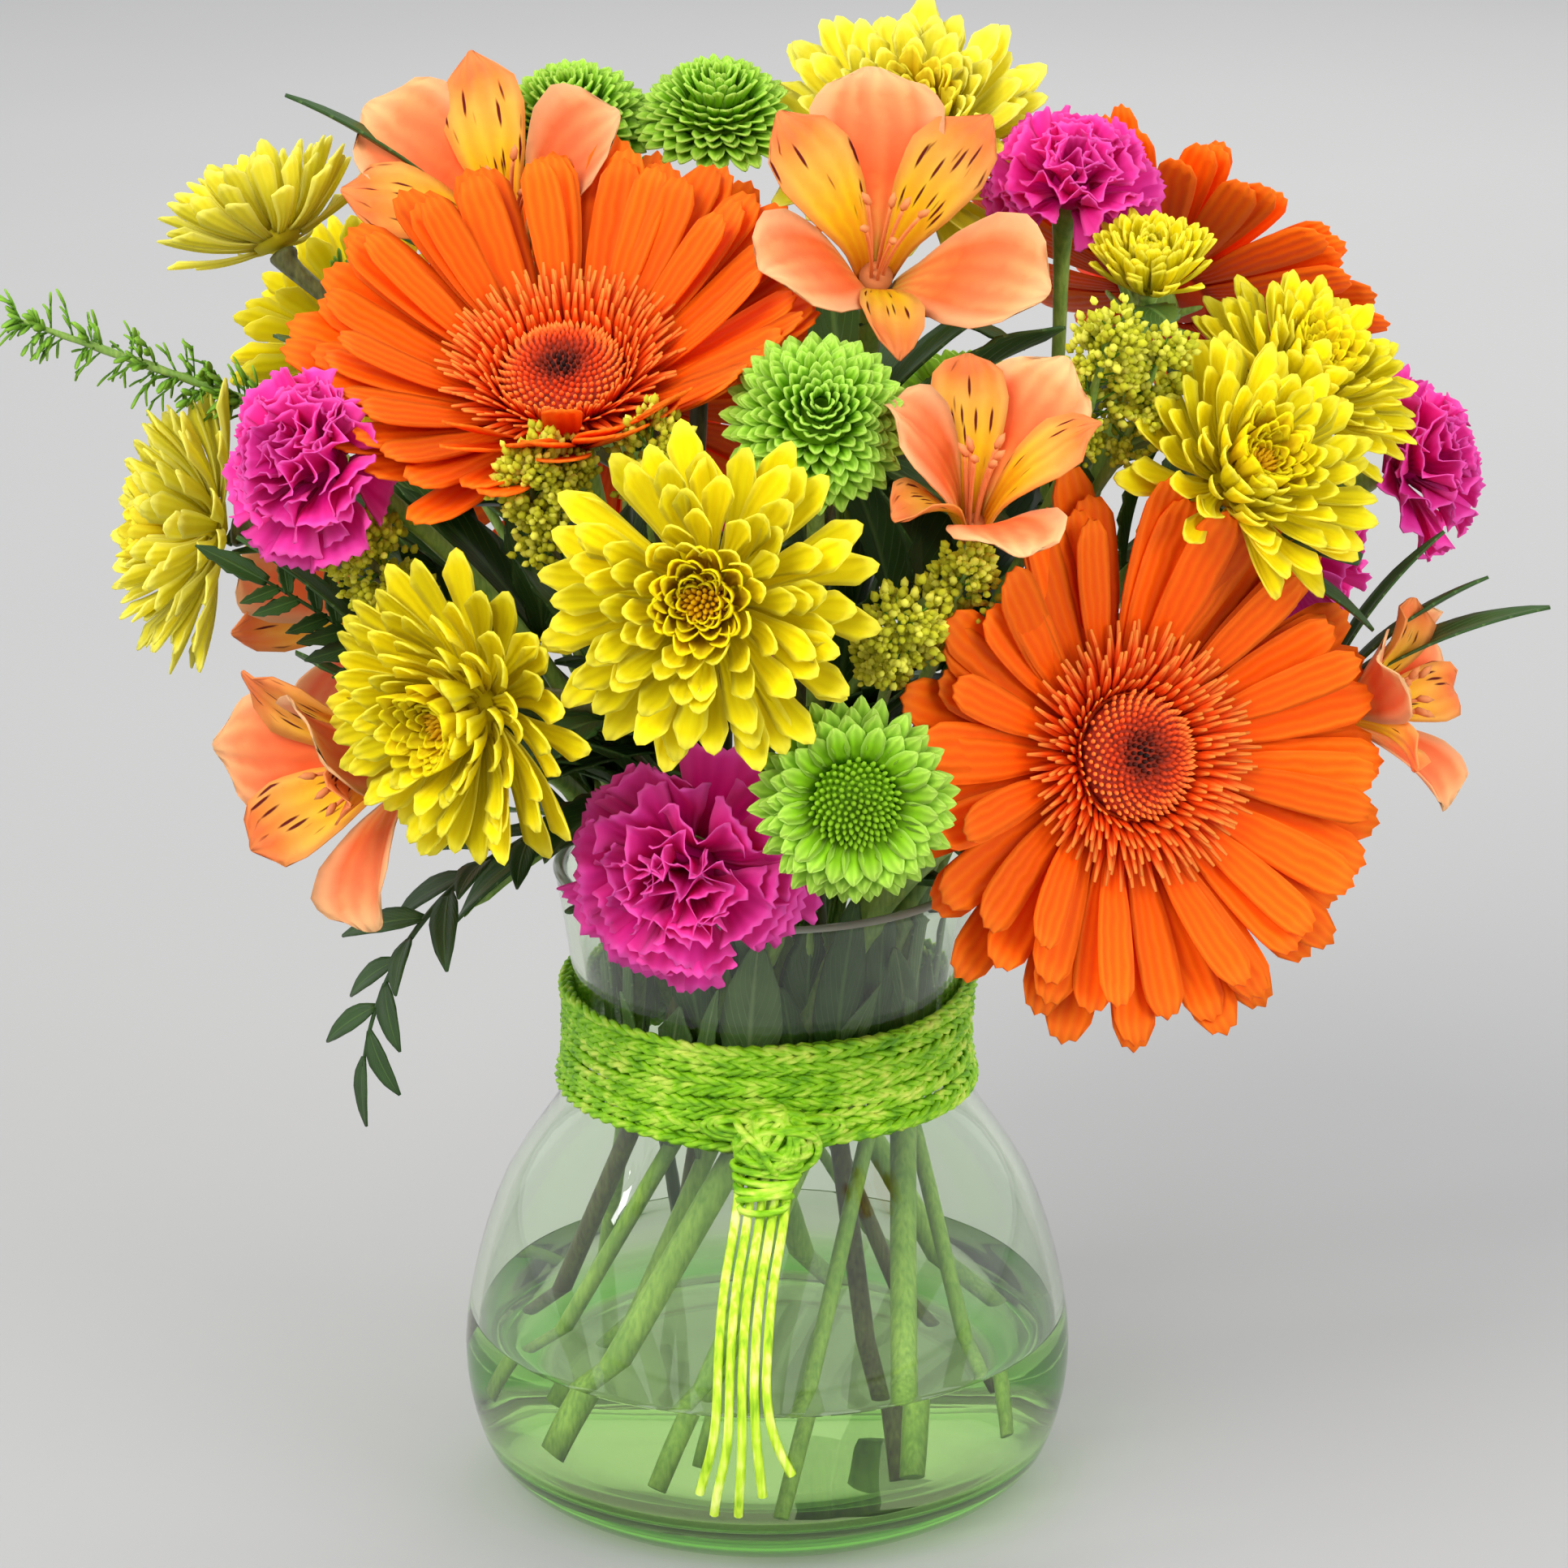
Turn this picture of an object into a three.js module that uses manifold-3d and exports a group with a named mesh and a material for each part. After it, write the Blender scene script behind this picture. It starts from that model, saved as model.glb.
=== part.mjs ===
// Gerberas, spray chrysanthemums, carnations and alstroemerias in a glass vase.
// Millimetres, +Z up, the origin at the centre of the vase's foot, the front towards -Y.

import * as THREE from 'three';
import { mergeVertices } from 'three/addons/utils/BufferGeometryUtils.js';
import Module from 'manifold-3d';

const wasm = await Module();
wasm.setup();

// ---------------------------------------------------------------- driving dimensions

const GAP = 0.3; // clearance between pieces that touch
const VASE = { foot: 50, belly: 65, neck: 40, rim: 45, height: 138, wall: 2.6, floor: 9, sides: 24 };
const WATER_LEVEL = 37;
const TIE = { low: 89, high: 112, turns: 4, depth: 2.6 };
const KNOT = { at: [1, -47.6, 93], size: [7.5, 4.6, 6.4] };
const TAIL_DIAMETER = 2;
const SPIRAL = {
  height: 100, // where the stems are closest together, in the neck
  outer: { radius: 28.5, slope: 0.44, fan: 0.56, count: 13, turn: 0 },
  inner: { radius: 12.5, slope: 0.26, fan: 0.42, count: 6, turn: 20 },
};

// How far a petal or a leaf may be bent, in degrees, or cut short, to clear its neighbours.
const BENDS = [0, 7, -7, 14, -14, 22, -22, 32, -32];
const CUTS = [1, 0.86, 0.72, 0.58, 0.42];
const CLEARANCE = 0.4;

const rad = THREE.MathUtils.degToRad;

// ---------------------------------------------------------------- solids and nodes

const part = new THREE.Group();
const standing = []; // every solid that later pieces keep clear of, with its box and its node

// A repeatable draw between 0 and 1.
function draw(index, seed) {
  const value = Math.sin(index * 12.9898 + seed * 78.233) * 43758.5453;
  return value - Math.floor(value);
}

// The closed three.js geometry as a solid that can be joined and cut.
function toSolid(geometry) {
  geometry.deleteAttribute('normal');
  geometry.deleteAttribute('uv');
  const welded = mergeVertices(geometry, 1e-4);
  const corners = welded.index.array;
  const triangles = [];
  for (let i = 0; i < corners.length; i += 3) {
    const [a, b, c] = corners.slice(i, i + 3);
    if (a !== b && b !== c && c !== a) triangles.push(a, b, c);
  }
  return new wasm.Manifold(new wasm.Mesh({
    numProp: 3,
    vertProperties: new Float32Array(welded.attributes.position.array),
    triVerts: new Uint32Array(triangles),
  }));
}

function toGeometry(solid) {
  const mesh = solid.getMesh();
  const geometry = new THREE.BufferGeometry();
  geometry.setAttribute('position', new THREE.BufferAttribute(mesh.vertProperties, mesh.numProp));
  geometry.setIndex([...mesh.triVerts]);
  return geometry;
}

// Solids joined into one body. A scrap that nothing holds, or a void sealed by the joining, goes.
function join(solids) {
  const whole = solids.reduce((sum, solid) => sum.add(solid)).simplify(0.004);
  const bodies = whole.decompose();
  return bodies.reduce((best, body) => (body.volume() > best.volume() ? body : best));
}

function boxOf(solid) {
  const box = solid.boundingBox();
  return new THREE.Box3(new THREE.Vector3(...box.min), new THREE.Vector3(...box.max));
}

// Marks solids of a node as taken space.
function stand(node, solids) {
  for (const solid of solids) standing.push({ node, solid, box: boxOf(solid) });
}

// Whether a solid meets anything that stands already, apart from its own node's pieces.
function meets(solid, node) {
  const box = boxOf(solid);
  return standing.some((other) => other.node !== node && other.box.intersectsBox(box)
    && !solid.intersect(other.solid).isEmpty());
}

// Adds a node to the part. Its geometry is kept in the frame it is placed in.
function addNode(name, solid, material, frame = new THREE.Matrix4()) {
  const geometry = toGeometry(solid);
  geometry.applyMatrix4(frame.clone().invert());
  const mesh = new THREE.Mesh(geometry, material);
  mesh.name = name;
  frame.decompose(mesh.position, mesh.quaternion, mesh.scale);
  part.add(mesh);
}

function finish(color, roughness) {
  return new THREE.MeshStandardMaterial({ color, roughness, metalness: 0 });
}

const GLASS = new THREE.MeshStandardMaterial({
  color: 0xdfe8df, roughness: 0.05, metalness: 0, transparent: true, opacity: 0.35,
});
const WATER = new THREE.MeshStandardMaterial({
  color: 0xb9c8a0, roughness: 0.05, metalness: 0, transparent: true, opacity: 0.5,
});
const LOOKS = {
  orange: finish(0xfb6212, 0.6),
  eye: finish(0x5a2414, 0.8),
  yellow: finish(0xf0e11e, 0.6),
  green: finish(0x86c822, 0.6),
  magenta: finish(0xe02a98, 0.6),
  peach: finish(0xf0a468, 0.55),
  straw: finish(0xbcbc3c, 0.8),
  leaf: finish(0x2f4f22, 0.6),
  stem: finish(0x6e8c46, 0.6),
  raffia: finish(0xa8cc38, 0.8),
};

// ---------------------------------------------------------------- shapes

// A closed solid through rings of points, all with the same count. The first half of each
// ring is its upper side and the rest its lower one, and both are split into triangles alike.
function loft(rings, frame) {
  const count = rings[0].length;
  const triangles = [];
  for (let j = 0; j + 1 < rings.length; j += 1) {
    for (let i = 0; i < count; i += 1) {
      const next = (i + 1) % count;
      const [a, b] = [j * count + i, j * count + next];
      const [c, d] = [a + count, b + count];
      if (i < count / 2) triangles.push(a, d, b, a, c, d);
      else triangles.push(a, c, b, b, c, d);
    }
  }
  const last = (rings.length - 1) * count;
  for (let i = 0; i < count - 1 - i; i += 1) {
    const under = count - 1 - i;
    triangles.push(i, i + 1, under - 1, i, under - 1, under);
    triangles.push(last + i, last + under - 1, last + i + 1, last + i, last + under, last + under - 1);
  }
  const geometry = new THREE.BufferGeometry().setFromPoints(rings.flat());
  geometry.setIndex(triangles);
  geometry.applyMatrix4(frame);
  return toSolid(geometry);
}

// A tube along a curve.
function tube(curve, radius, sides, steps) {
  const section = new THREE.Shape();
  for (let i = 0; i < sides; i += 1) {
    const angle = (i / sides) * 2 * Math.PI;
    const corner = [radius * Math.cos(angle), radius * Math.sin(angle)];
    if (i === 0) section.moveTo(...corner);
    else section.lineTo(...corner);
  }
  section.closePath();
  return toSolid(new THREE.ExtrudeGeometry(section, { steps, extrudePath: curve, bevelEnabled: false }));
}

// A stalk along a curve, as thick as its stations say: [share of the way, radius]. A station may
// also give the way that its ring faces.
function stalk(curve, sides, stations) {
  const side = new THREE.Vector3(0.31, 0.95, 0.05);
  const rings = stations.map(([share, radius, facing]) => {
    const along = facing ?? curve.getTangentAt(share);
    side.addScaledVector(along, -side.dot(along)).normalize();
    const other = side.clone().cross(along);
    return Array.from({ length: sides }, (_, i) => {
      const angle = (2 * Math.PI * i) / sides;
      return curve.getPointAt(share)
        .addScaledVector(side, radius * Math.cos(angle))
        .addScaledVector(other, radius * Math.sin(angle));
    });
  });
  return loft(rings, new THREE.Matrix4());
}

// A turned solid about Z. The profile is a list of [radius, height] from the axis to the axis.
// Bumps raise every second corner of it, as the florets of a disc do.
function turned(profile, sides, frame = new THREE.Matrix4(), bumps = 0) {
  const points = profile.map(([r, z]) => new THREE.Vector2(r, z));
  const geometry = new THREE.LatheGeometry(points, sides);
  const corners = geometry.attributes.position;
  for (let i = 0; i < corners.count; i += 1) {
    const row = i % points.length;
    const column = Math.floor(i / points.length);
    const raised = row > 1 && row + 1 < points.length && (row + column) % 2;
    if (raised) corners.setY(i, corners.getY(i) + bumps);
  }
  geometry.rotateX(Math.PI / 2);
  geometry.applyMatrix4(frame);
  return toSolid(geometry);
}

// ---------------------------------------------------------------- vase

// The glass outside, from the foot to the rim, as [radius, height].
const glassOutside = new THREE.SplineCurve([
  new THREE.Vector2(VASE.foot, 0),
  new THREE.Vector2(VASE.foot + 11, 9),
  new THREE.Vector2(VASE.belly, 32),
  new THREE.Vector2(57.5, 63),
  new THREE.Vector2(43, 87),
  new THREE.Vector2(VASE.neck, 102),
  new THREE.Vector2(42.5, 123),
  new THREE.Vector2(VASE.rim, VASE.height),
]).getPoints(9);

// The inside is the outside moved in by the wall, down to the thick floor.
const glassInside = glassOutside.map((point, i, all) => {
  const before = all[Math.max(i - 1, 0)];
  const after = all[Math.min(i + 1, all.length - 1)];
  const along = after.clone().sub(before).normalize();
  const height = Math.min(point.y + along.x * VASE.wall, VASE.height);
  return new THREE.Vector2(point.x - along.y * VASE.wall, height);
}).filter((point) => point.y > VASE.floor + 3);

// The radius of a profile at a height, between its points.
function radiusAt(profile, height) {
  const upper = Math.max(1, profile.findIndex((point) => point.y >= height));
  const [low, high] = [profile[upper - 1], profile[upper]];
  return THREE.MathUtils.mapLinear(height, low.y, high.y, low.x, high.x);
}

function vase() {
  const floorEdge = glassInside[0].x - 4;
  const profile = [[0, 0], ...glassOutside.map((p) => [p.x, p.y])];
  profile.push(...glassInside.toReversed().map((p) => [p.x, p.y]));
  profile.push([floorEdge, VASE.floor], [0, VASE.floor]);
  return turned(profile, VASE.sides);
}

const glass = vase();
stand('vase', [glass]);
addNode('vase', glass, GLASS);

// ---------------------------------------------------------------- tie

// The tie's turns lie one above the other round the neck. The ring's inside follows the glass.
function tieTurns() {
  const pitch = (TIE.high - TIE.low) / TIE.turns;
  const between = glassOutside.map((p) => p.y).filter((z) => z > TIE.low && z < TIE.high);
  const against = [TIE.low, ...between, TIE.high];
  const profile = against.map((z) => [radiusAt(glassOutside, z) + GAP, z]);
  for (let turn = TIE.turns; turn > 0; turn -= 1) {
    const z = TIE.low + pitch * turn;
    const out = radiusAt(glassOutside, z - pitch / 2) + GAP;
    profile.push([out + TIE.depth * 0.45, z - pitch * 0.04], [out + TIE.depth, z - pitch * 0.5]);
  }
  profile.push([profile.at(-1)[0] - TIE.depth * 0.5, TIE.low], profile[0]);
  return turned(profile.toReversed(), VASE.sides);
}

// The knot at the front, with two short loops.
function knot() {
  const ball = (at, size) => {
    const geometry = new THREE.SphereGeometry(1, 7, 4);
    geometry.scale(...size);
    geometry.translate(...at);
    return toSolid(geometry);
  };
  const [x, y, z] = KNOT.at;
  return [
    ball(KNOT.at, KNOT.size),
    ball([x - 6, y + 1, z + 3], [7, 2.4, 3]),
    ball([x + 6.5, y + 1.2, z + 2], [7, 2.4, 3]),
  ];
}

const tie = join([tieTurns(), ...knot()]);
stand('tie', [tie]);
addNode('tie', tie, LOOKS.raffia);

// The tails fall from the knot over the belly. Each is a list of sideways places, in mm, at the
// heights and distances from the vase's axis of the fall.
const FALL = [[86.3, 47.6], [82, 49], [77, 51.4], [72, 54.2], [67, 57.2], [62, 60], [57, 62.4], [52, 64.2],
  [47, 65.6], [42, 66.5], [37, 67], [32, 67.2], [27, 67], [22, 66.4], [17, 65.2]];
const TAILS = [
  { name: 'tail_1',
    places: [-5.2, -5.7, -6.4, -7.3, -8.3, -9, -9.5, -9.8, -10, -10.2, -10.6, -11.4, -12.6, -13.8] },
  { name: 'tail_2',
    places: [-2.6, -3.2, -3.9, -4.8, -5.8, -6.5, -7, -7.3, -7.5, -7.6, -7.8, -8.3, -9.2, -10.2, -10.8] },
  { name: 'tail_3',
    places: [0, -0.7, -1.4, -2.3, -3.3, -4, -4.5, -4.8, -5, -5, -5, -5.1, -5.3, -5.6, -5.8] },
  { name: 'tail_4',
    places: [2.6, 1.8, 1.1, 0.2, -0.8, -1.5, -2, -2.3, -2.5, -2.4, -2.2, -1.8, -1.3, -0.8] },
  { name: 'tail_5',
    places: [5.2, 4.3, 3.6, 2.7, 1.7, 1, 0.5, 0.2, 0, 0.3, 1.2, 2.9, 5.2] },
];

for (const tail of TAILS) {
  const points = tail.places.map((x, i) => {
    const [height, reach] = FALL[i];
    return new THREE.Vector3(x, -Math.sqrt(reach ** 2 - x ** 2), height);
  });
  const path = new THREE.CatmullRomCurve3(points);
  const strand = tube(path, TAIL_DIAMETER / 2, 8, Math.round(path.getLength() / (3 * TAIL_DIAMETER)));
  stand(tail.name, [strand]);
  addNode(tail.name, strand, LOOKS.raffia);
}

// ---------------------------------------------------------------- petals

// The middle line of a petal, seen from the side: its distance from the bloom's axis, its
// height along the axis and its slope, at a share of the petal's length.
function middle(petal, share) {
  const pieces = 12;
  const step = (petal.length * share) / pieces;
  let [out, up] = [petal.root, petal.base];
  for (let k = 0; k < pieces; k += 1) {
    const slope = petal.pitch + (petal.curl * share * (k + 0.5)) / pieces;
    out += Math.cos(slope) * step;
    up += Math.sin(slope) * step;
  }
  return { out, up, slope: petal.pitch + petal.curl * share };
}

// The sections of a petal, as [across, proud], in four corners: a strap and a folded blade.
const SECTIONS = {
  strap: (half, thick) => [[-half, thick], [half, thick], [half, -thick], [-half, -thick]],
  folded: (half, thick) => [[-half, half * 0.35], [0, thick], [half, half * 0.35], [0, -thick]],
};

// The rings of a petal in its bloom's frame. Its stations are [share of its length, width].
function ringsOf(petal, grow = 0) {
  const turn = new THREE.Matrix4().makeRotationZ(petal.azimuth);
  return petal.stations.map(([share, width]) => {
    const { out, up, slope } = middle(petal, share);
    const section = SECTIONS[petal.section](width / 2 + grow, petal.thick / 2 + grow);
    return section.map(([across, proud]) => {
      const point = new THREE.Vector3(out - Math.sin(slope) * proud, across, up + Math.cos(slope) * proud);
      return point.applyMatrix4(turn);
    });
  });
}

// A petal on its own, as a closed blade. It starts at its first ring, or at the root given.
function blade(petal, frame, grow = 0, root = null) {
  const [first, ...others] = ringsOf(petal, grow);
  return loft([root ?? first, ...others], frame);
}

// The petal, bent or cut short until it clears what stands round it and the other petals of
// its bloom, or null where it can't.
function fit(petal, frame, node, siblings = [], root = null) {
  for (const cut of CUTS) {
    for (const bend of BENDS) {
      const tried = { ...petal, length: petal.length * cut, pitch: petal.pitch + rad(bend) };
      if (meets(blade(tried, frame, CLEARANCE, root), node)) continue;
      const slim = blade(tried, frame, 0.1);
      if (!siblings.some((other) => !slim.intersect(other).isEmpty())) return tried;
    }
  }
  return null;
}

// ---------------------------------------------------------------- kinds of bloom

// Each kind has a hub, turned from a profile of [radius, height], which is divided into cells.
// A tier of petals grows out of every second cell of each row of the hub, from the bottom row up,
// or out of every cell where it is crowded. The green cup under the hub belongs to the stem.
// Lengths are for a bloom of size 1, angles in degrees. A petal is root, belly and tip wide.
const KINDS = {
  gerbera: {
    look: LOOKS.orange,
    hub: [[0, -7], [13.5, -6.4], [15.6, -3.8], [15.2, -1.2], [13.4, 0], [0, 0]],
    columns: 24,
    cup: { top: 10, waist: 6.5, depth: 11, bracts: 6 },
    tiers: [
      { length: 45, pitch: 3, curl: 10, section: 'strap', thick: 0.9, widths: [3.4, 8.4, 4.6] },
      { length: 40, pitch: 14, curl: 12, section: 'strap', thick: 0.9, widths: [3.4, 8.2, 4.4] },
      { length: 10, pitch: 44, curl: 0, section: 'strap', thick: 0.9, widths: [2.6, 2.2] },
    ],
  },
  mum: {
    look: LOOKS.yellow,
    hub: [[0, -6], [7, -4.6], [8.2, -1.4], [6.8, 2.6], [4, 5.4], [0, 6.6]],
    columns: 16,
    cup: { top: 6, waist: 4, depth: 6, bracts: 0 },
    tiers: [
      { length: 27, pitch: -2, curl: 24, section: 'folded', thick: 1.3, widths: [3, 8.6, 5] },
      { length: 23, pitch: 27, curl: 28, section: 'folded', thick: 1.3, widths: [3, 8, 4.6] },
      { length: 15, pitch: 56, curl: 30, section: 'folded', thick: 1.3, widths: [2.4, 5.6] },
    ],
  },
  button: {
    look: LOOKS.green,
    hub: [[0, -5], [9.2, -3], [10.6, 0.4], [9, 5], [5, 8], [0, 9]],
    columns: 16,
    cup: { top: 5.5, waist: 3.5, depth: 5, bracts: 0 },
    tiers: [
      { length: 9.5, pitch: 4, curl: 0, section: 'folded', thick: 1.2, widths: [2.6, 4.8] },
      { length: 7.5, pitch: 30, curl: 0, section: 'folded', thick: 1.2, widths: [2.6, 4.4] },
      { length: 6.5, pitch: 58, curl: 0, section: 'folded', thick: 1.2, widths: [2.2, 3.4] },
    ],
  },
  daisy: {
    look: LOOKS.green,
    hub: [[0, -5], [7.6, -3.4], [8.4, -1], [8, 1.6], [5, 4.2], [0, 4.8]],
    columns: 22,
    cup: { top: 5.5, waist: 3.5, depth: 5, bracts: 0 },
    tiers: [
      { length: 12, pitch: 0, curl: 10, section: 'folded', thick: 1.1, widths: [2.4, 4.8] },
      { length: 10, pitch: 20, curl: 12, section: 'folded', thick: 1.1, widths: [2.2, 4] },
    ],
  },
  carnation: {
    look: LOOKS.magenta,
    hub: [[0, -8], [4.6, -5.4], [5.6, -2.4], [5.2, 1], [3.2, 3.8], [0, 5]],
    columns: 10,
    cup: { top: 4.2, waist: 3.8, depth: 13, bracts: 0 },
    tiers: [
      { length: 17.5, pitch: 14, curl: -20, section: 'folded', thick: 1, widths: [3.6, 15, 17] },
      { length: 16, pitch: 42, curl: -20, section: 'folded', thick: 1, widths: [3.4, 13, 14] },
      { length: 13, pitch: 70, curl: -10, section: 'folded', thick: 1, widths: [3, 10] },
    ],
  },
  alstroemeria: {
    look: LOOKS.peach,
    hub: [[0, -27], [2.8, -25], [3.6, -20], [0, -18]],
    columns: 6,
    crowded: true,
    cup: { top: 2.8, waist: 3.2, depth: 8, bracts: 0 },
    tiers: [
      { length: 44, pitch: 70, curl: -60, section: 'folded', thick: 1, widths: [3.6, 17, 22, 10] },
    ],
  },
};

// A bloom that hardly shows has fewer columns of cells than its kind.
function columnsOf(bloom) {
  return bloom.columns ?? KINDS[bloom.kind].columns;
}

// A hub corner, in the bloom's frame.
function cornerOf(bloom, row, column) {
  const { hub } = KINDS[bloom.kind];
  const columns = columnsOf(bloom);
  const [radius, height] = hub[row];
  const angle = (2 * Math.PI * column) / columns;
  const corner = new THREE.Vector3(radius * Math.cos(angle), radius * Math.sin(angle), height);
  return corner.multiplyScalar(bloom.size);
}

// The corners of a cell of the hub, the two upper ones first.
function cellOf(bloom, row, column) {
  return [[row + 2, column], [row + 2, column + 1], [row + 1, column + 1], [row + 1, column]]
    .map(([line, place]) => cornerOf(bloom, line, place));
}

// The petal of a cell, a little different from the next one. It leaves the middle of the cell.
function petalOf(bloom, seed, row, column) {
  const { hub, tiers, crowded } = KINDS[bloom.kind];
  const columns = columnsOf(bloom);
  const tier = tiers[row];
  const chance = (count) => draw(column + columns * row, seed + count) - 0.5;
  const slim = crowded && column % 2 ? 0.62 : 1;
  const last = tier.widths.length - 1;
  return {
    section: tier.section,
    thick: tier.thick,
    azimuth: (2 * Math.PI * (column + 0.5)) / columns,
    root: 0.5 * (hub[row + 1][0] + hub[row + 2][0]) * bloom.size,
    base: 0.5 * (hub[row + 1][1] + hub[row + 2][1]) * bloom.size,
    length: tier.length * bloom.size * (1 + 0.1 * chance(1)),
    pitch: rad(tier.pitch + (bloom.cupped ?? 0) + 5 * chance(2)),
    curl: rad(tier.curl),
    stations: tier.widths.map((width, i) => [0.12 + (0.88 * i) / last, width * slim * bloom.size]),
  };
}

// The whole head of a bloom as one closed surface: the hub's cells, with the petals that found
// room drawn out of theirs. `petals` holds each petal under its row and column.
function headOf(bloom, petals) {
  const { hub } = KINDS[bloom.kind];
  const columns = columnsOf(bloom);
  const rows = hub.length - 2;
  const corners = [];
  const triangles = [];
  for (let row = 0; row < rows; row += 1) {
    for (let column = 0; column < columns; column += 1) corners.push(cornerOf(bloom, row + 1, column));
  }
  const at = (row, column) => row * columns + (column % columns);
  const wall = (from, to) => {
    for (let i = 0; i < 4; i += 1) {
      const next = (i + 1) % 4;
      if (i < 2) triangles.push(from[i], to[next], from[next], from[i], to[i], to[next]);
      else triangles.push(from[i], to[i], from[next], from[next], to[i], to[next]);
    }
  };
  const lid = (ring) => triangles.push(ring[0], ring[2], ring[1], ring[0], ring[3], ring[2]);
  const [bottom, top] = [corners.length, corners.length + 1];
  corners.push(cornerOf(bloom, 0, 0), cornerOf(bloom, hub.length - 1, 0));
  for (let column = 0; column < columns; column += 1) {
    triangles.push(bottom, at(0, column + 1), at(0, column));
    triangles.push(top, at(rows - 1, column), at(rows - 1, column + 1));
    for (let row = 0; row + 1 < rows; row += 1) {
      let ring = [at(row + 1, column), at(row + 1, column + 1), at(row, column + 1), at(row, column)];
      const petal = petals.get(`${row} ${column}`);
      for (const points of petal ? ringsOf(petal).slice(1) : []) {
        const drawn = points.map((_, i) => corners.length + i);
        corners.push(...points);
        wall(ring, drawn);
        ring = drawn;
      }
      lid(ring);
    }
  }
  const geometry = new THREE.BufferGeometry().setFromPoints(corners);
  geometry.setIndex(triangles);
  geometry.applyMatrix4(bloom.frame);
  return toSolid(geometry);
}

// ---------------------------------------------------------------- layout

// Where each bloom's face is, the azimuth (0 is the front, + is to the right) and elevation
// that it looks along, the roll about that axis, and its size.
const BLOOMS = [
  { name: 'mum_centre', kind: 'mum', at: [-11, -98, 223], look: [-6, 14], size: 1 },
  { name: 'button_daisy', kind: 'daisy', at: [17, -105, 185], look: [5, 8], size: 1 },
  { name: 'gerbera_front', kind: 'gerbera', at: [73, -58, 179], look: [30, 17], size: 1 },
  { name: 'mum_left', kind: 'mum',
    at: [-57, -85, 197], look: [-38, -4], roll: 12, size: 0.95, columns: 14 },
  { name: 'gerbera_top', kind: 'gerbera',
    at: [-40, -40, 252], look: [-10, 58], roll: 5, size: 0.97, cupped: 16 },
  { name: 'carnation_rim', kind: 'carnation', at: [-15, -80, 163], look: [-6, -4], roll: 10, size: 1.1 },
  { name: 'alstroemeria_left', kind: 'alstroemeria',
    at: [-84, -64, 177], look: [-48, 0], roll: 30, size: 0.95 },
  { name: 'carnation_left', kind: 'carnation', at: [-87, -64, 241], look: [-40, 26], size: 0.95 },
  { name: 'mum_right', kind: 'mum', at: [94, -42, 232], look: [32, 34], size: 0.88, columns: 14 },
  { name: 'alstroemeria_front', kind: 'alstroemeria',
    at: [40, -75, 243], look: [0, 58], roll: 20, size: 0.85 },
  { name: 'button_front', kind: 'button', at: [10, -76, 252], look: [5, 35], size: 0.92 },
  { name: 'alstroemeria_top', kind: 'alstroemeria',
    at: [23, -35, 280], look: [4, 40], roll: 60, size: 1 },
  { name: 'alstroemeria_back_left', kind: 'alstroemeria',
    at: [-55, 0, 280], look: [-14, 44], size: 0.98 },
  { name: 'mum_right_upper', kind: 'mum', at: [108, -12, 243], look: [45, 52], size: 0.8, columns: 12 },
  { name: 'mum_small', kind: 'mum',
    at: [77, -15, 266], look: [5, 70], size: 0.5, cupped: 30, columns: 12 },
  { name: 'carnation_top', kind: 'carnation', at: [62, 5, 281], look: [10, 55], size: 0.82 },
  { name: 'button_top', kind: 'button', at: [-10, 20, 291], look: [6, 68], size: 0.88, columns: 14 },
  { name: 'button_top_left', kind: 'button',
    at: [-40, 25, 289], look: [-14, 64], size: 0.88, columns: 14 },
  { name: 'mum_far_left', kind: 'mum', at: [-115, -10, 213], look: [-80, 8], size: 0.9, columns: 12 },
  { name: 'mum_top_left', kind: 'mum',
    at: [-102, 20, 268], look: [-135, 55], size: 0.75, cupped: 10, columns: 12 },
  { name: 'mum_top', kind: 'mum', at: [29, 25, 286], look: [5, 50], size: 1, columns: 14 },
  { name: 'carnation_right', kind: 'carnation',
    at: [133, 5, 223], look: [78, 25], size: 0.9, columns: 8 },
  { name: 'alstroemeria_right', kind: 'alstroemeria', at: [130, -25, 181], look: [68, 20], size: 0.7 },
  { name: 'gerbera_right', kind: 'gerbera', at: [86, 60, 250], look: [143, 40], size: 0.85, columns: 20 },
  { name: 'gerbera_back', kind: 'gerbera', at: [-32, 78, 220], look: [192, 18], size: 0.95, columns: 20 },
  { name: 'mum_back_left', kind: 'mum', at: [-88, 66, 235], look: [-140, 22], size: 0.9, columns: 12 },
  { name: 'button_back', kind: 'button', at: [44, 92, 208], look: [158, 14], size: 0.95, columns: 14 },
  { name: 'carnation_back', kind: 'carnation', at: [-12, 96, 168], look: [182, 0], size: 1, columns: 8 },
  { name: 'carnation_back_right', kind: 'carnation',
    at: [112, 52, 192], look: [118, 8], size: 1, columns: 8 },
  { name: 'alstroemeria_back', kind: 'alstroemeria', at: [-92, 62, 178], look: [-130, 4], size: 0.95 },
];

// The frame of something that looks along an azimuth and an elevation: its Z axis points that
// way and its X axis is level.
function frameOf(at, [azimuth, elevation], roll = 0) {
  const [a, e] = [rad(azimuth), rad(elevation)];
  const axis = new THREE.Vector3(Math.sin(a) * Math.cos(e), -Math.cos(a) * Math.cos(e), Math.sin(e));
  const level = new THREE.Vector3(Math.cos(a), Math.sin(a), 0);
  const frame = new THREE.Matrix4().makeBasis(level, axis.clone().cross(level), axis);
  frame.setPosition(...at);
  return frame.multiply(new THREE.Matrix4().makeRotationZ(rad(roll)));
}

// Hubs, first, because every stem and petal clears them.
for (const bloom of BLOOMS) {
  bloom.frame = frameOf(bloom.at, bloom.look, bloom.roll);
  stand(bloom.name, [headOf(bloom, new Map())]);
}

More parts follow.
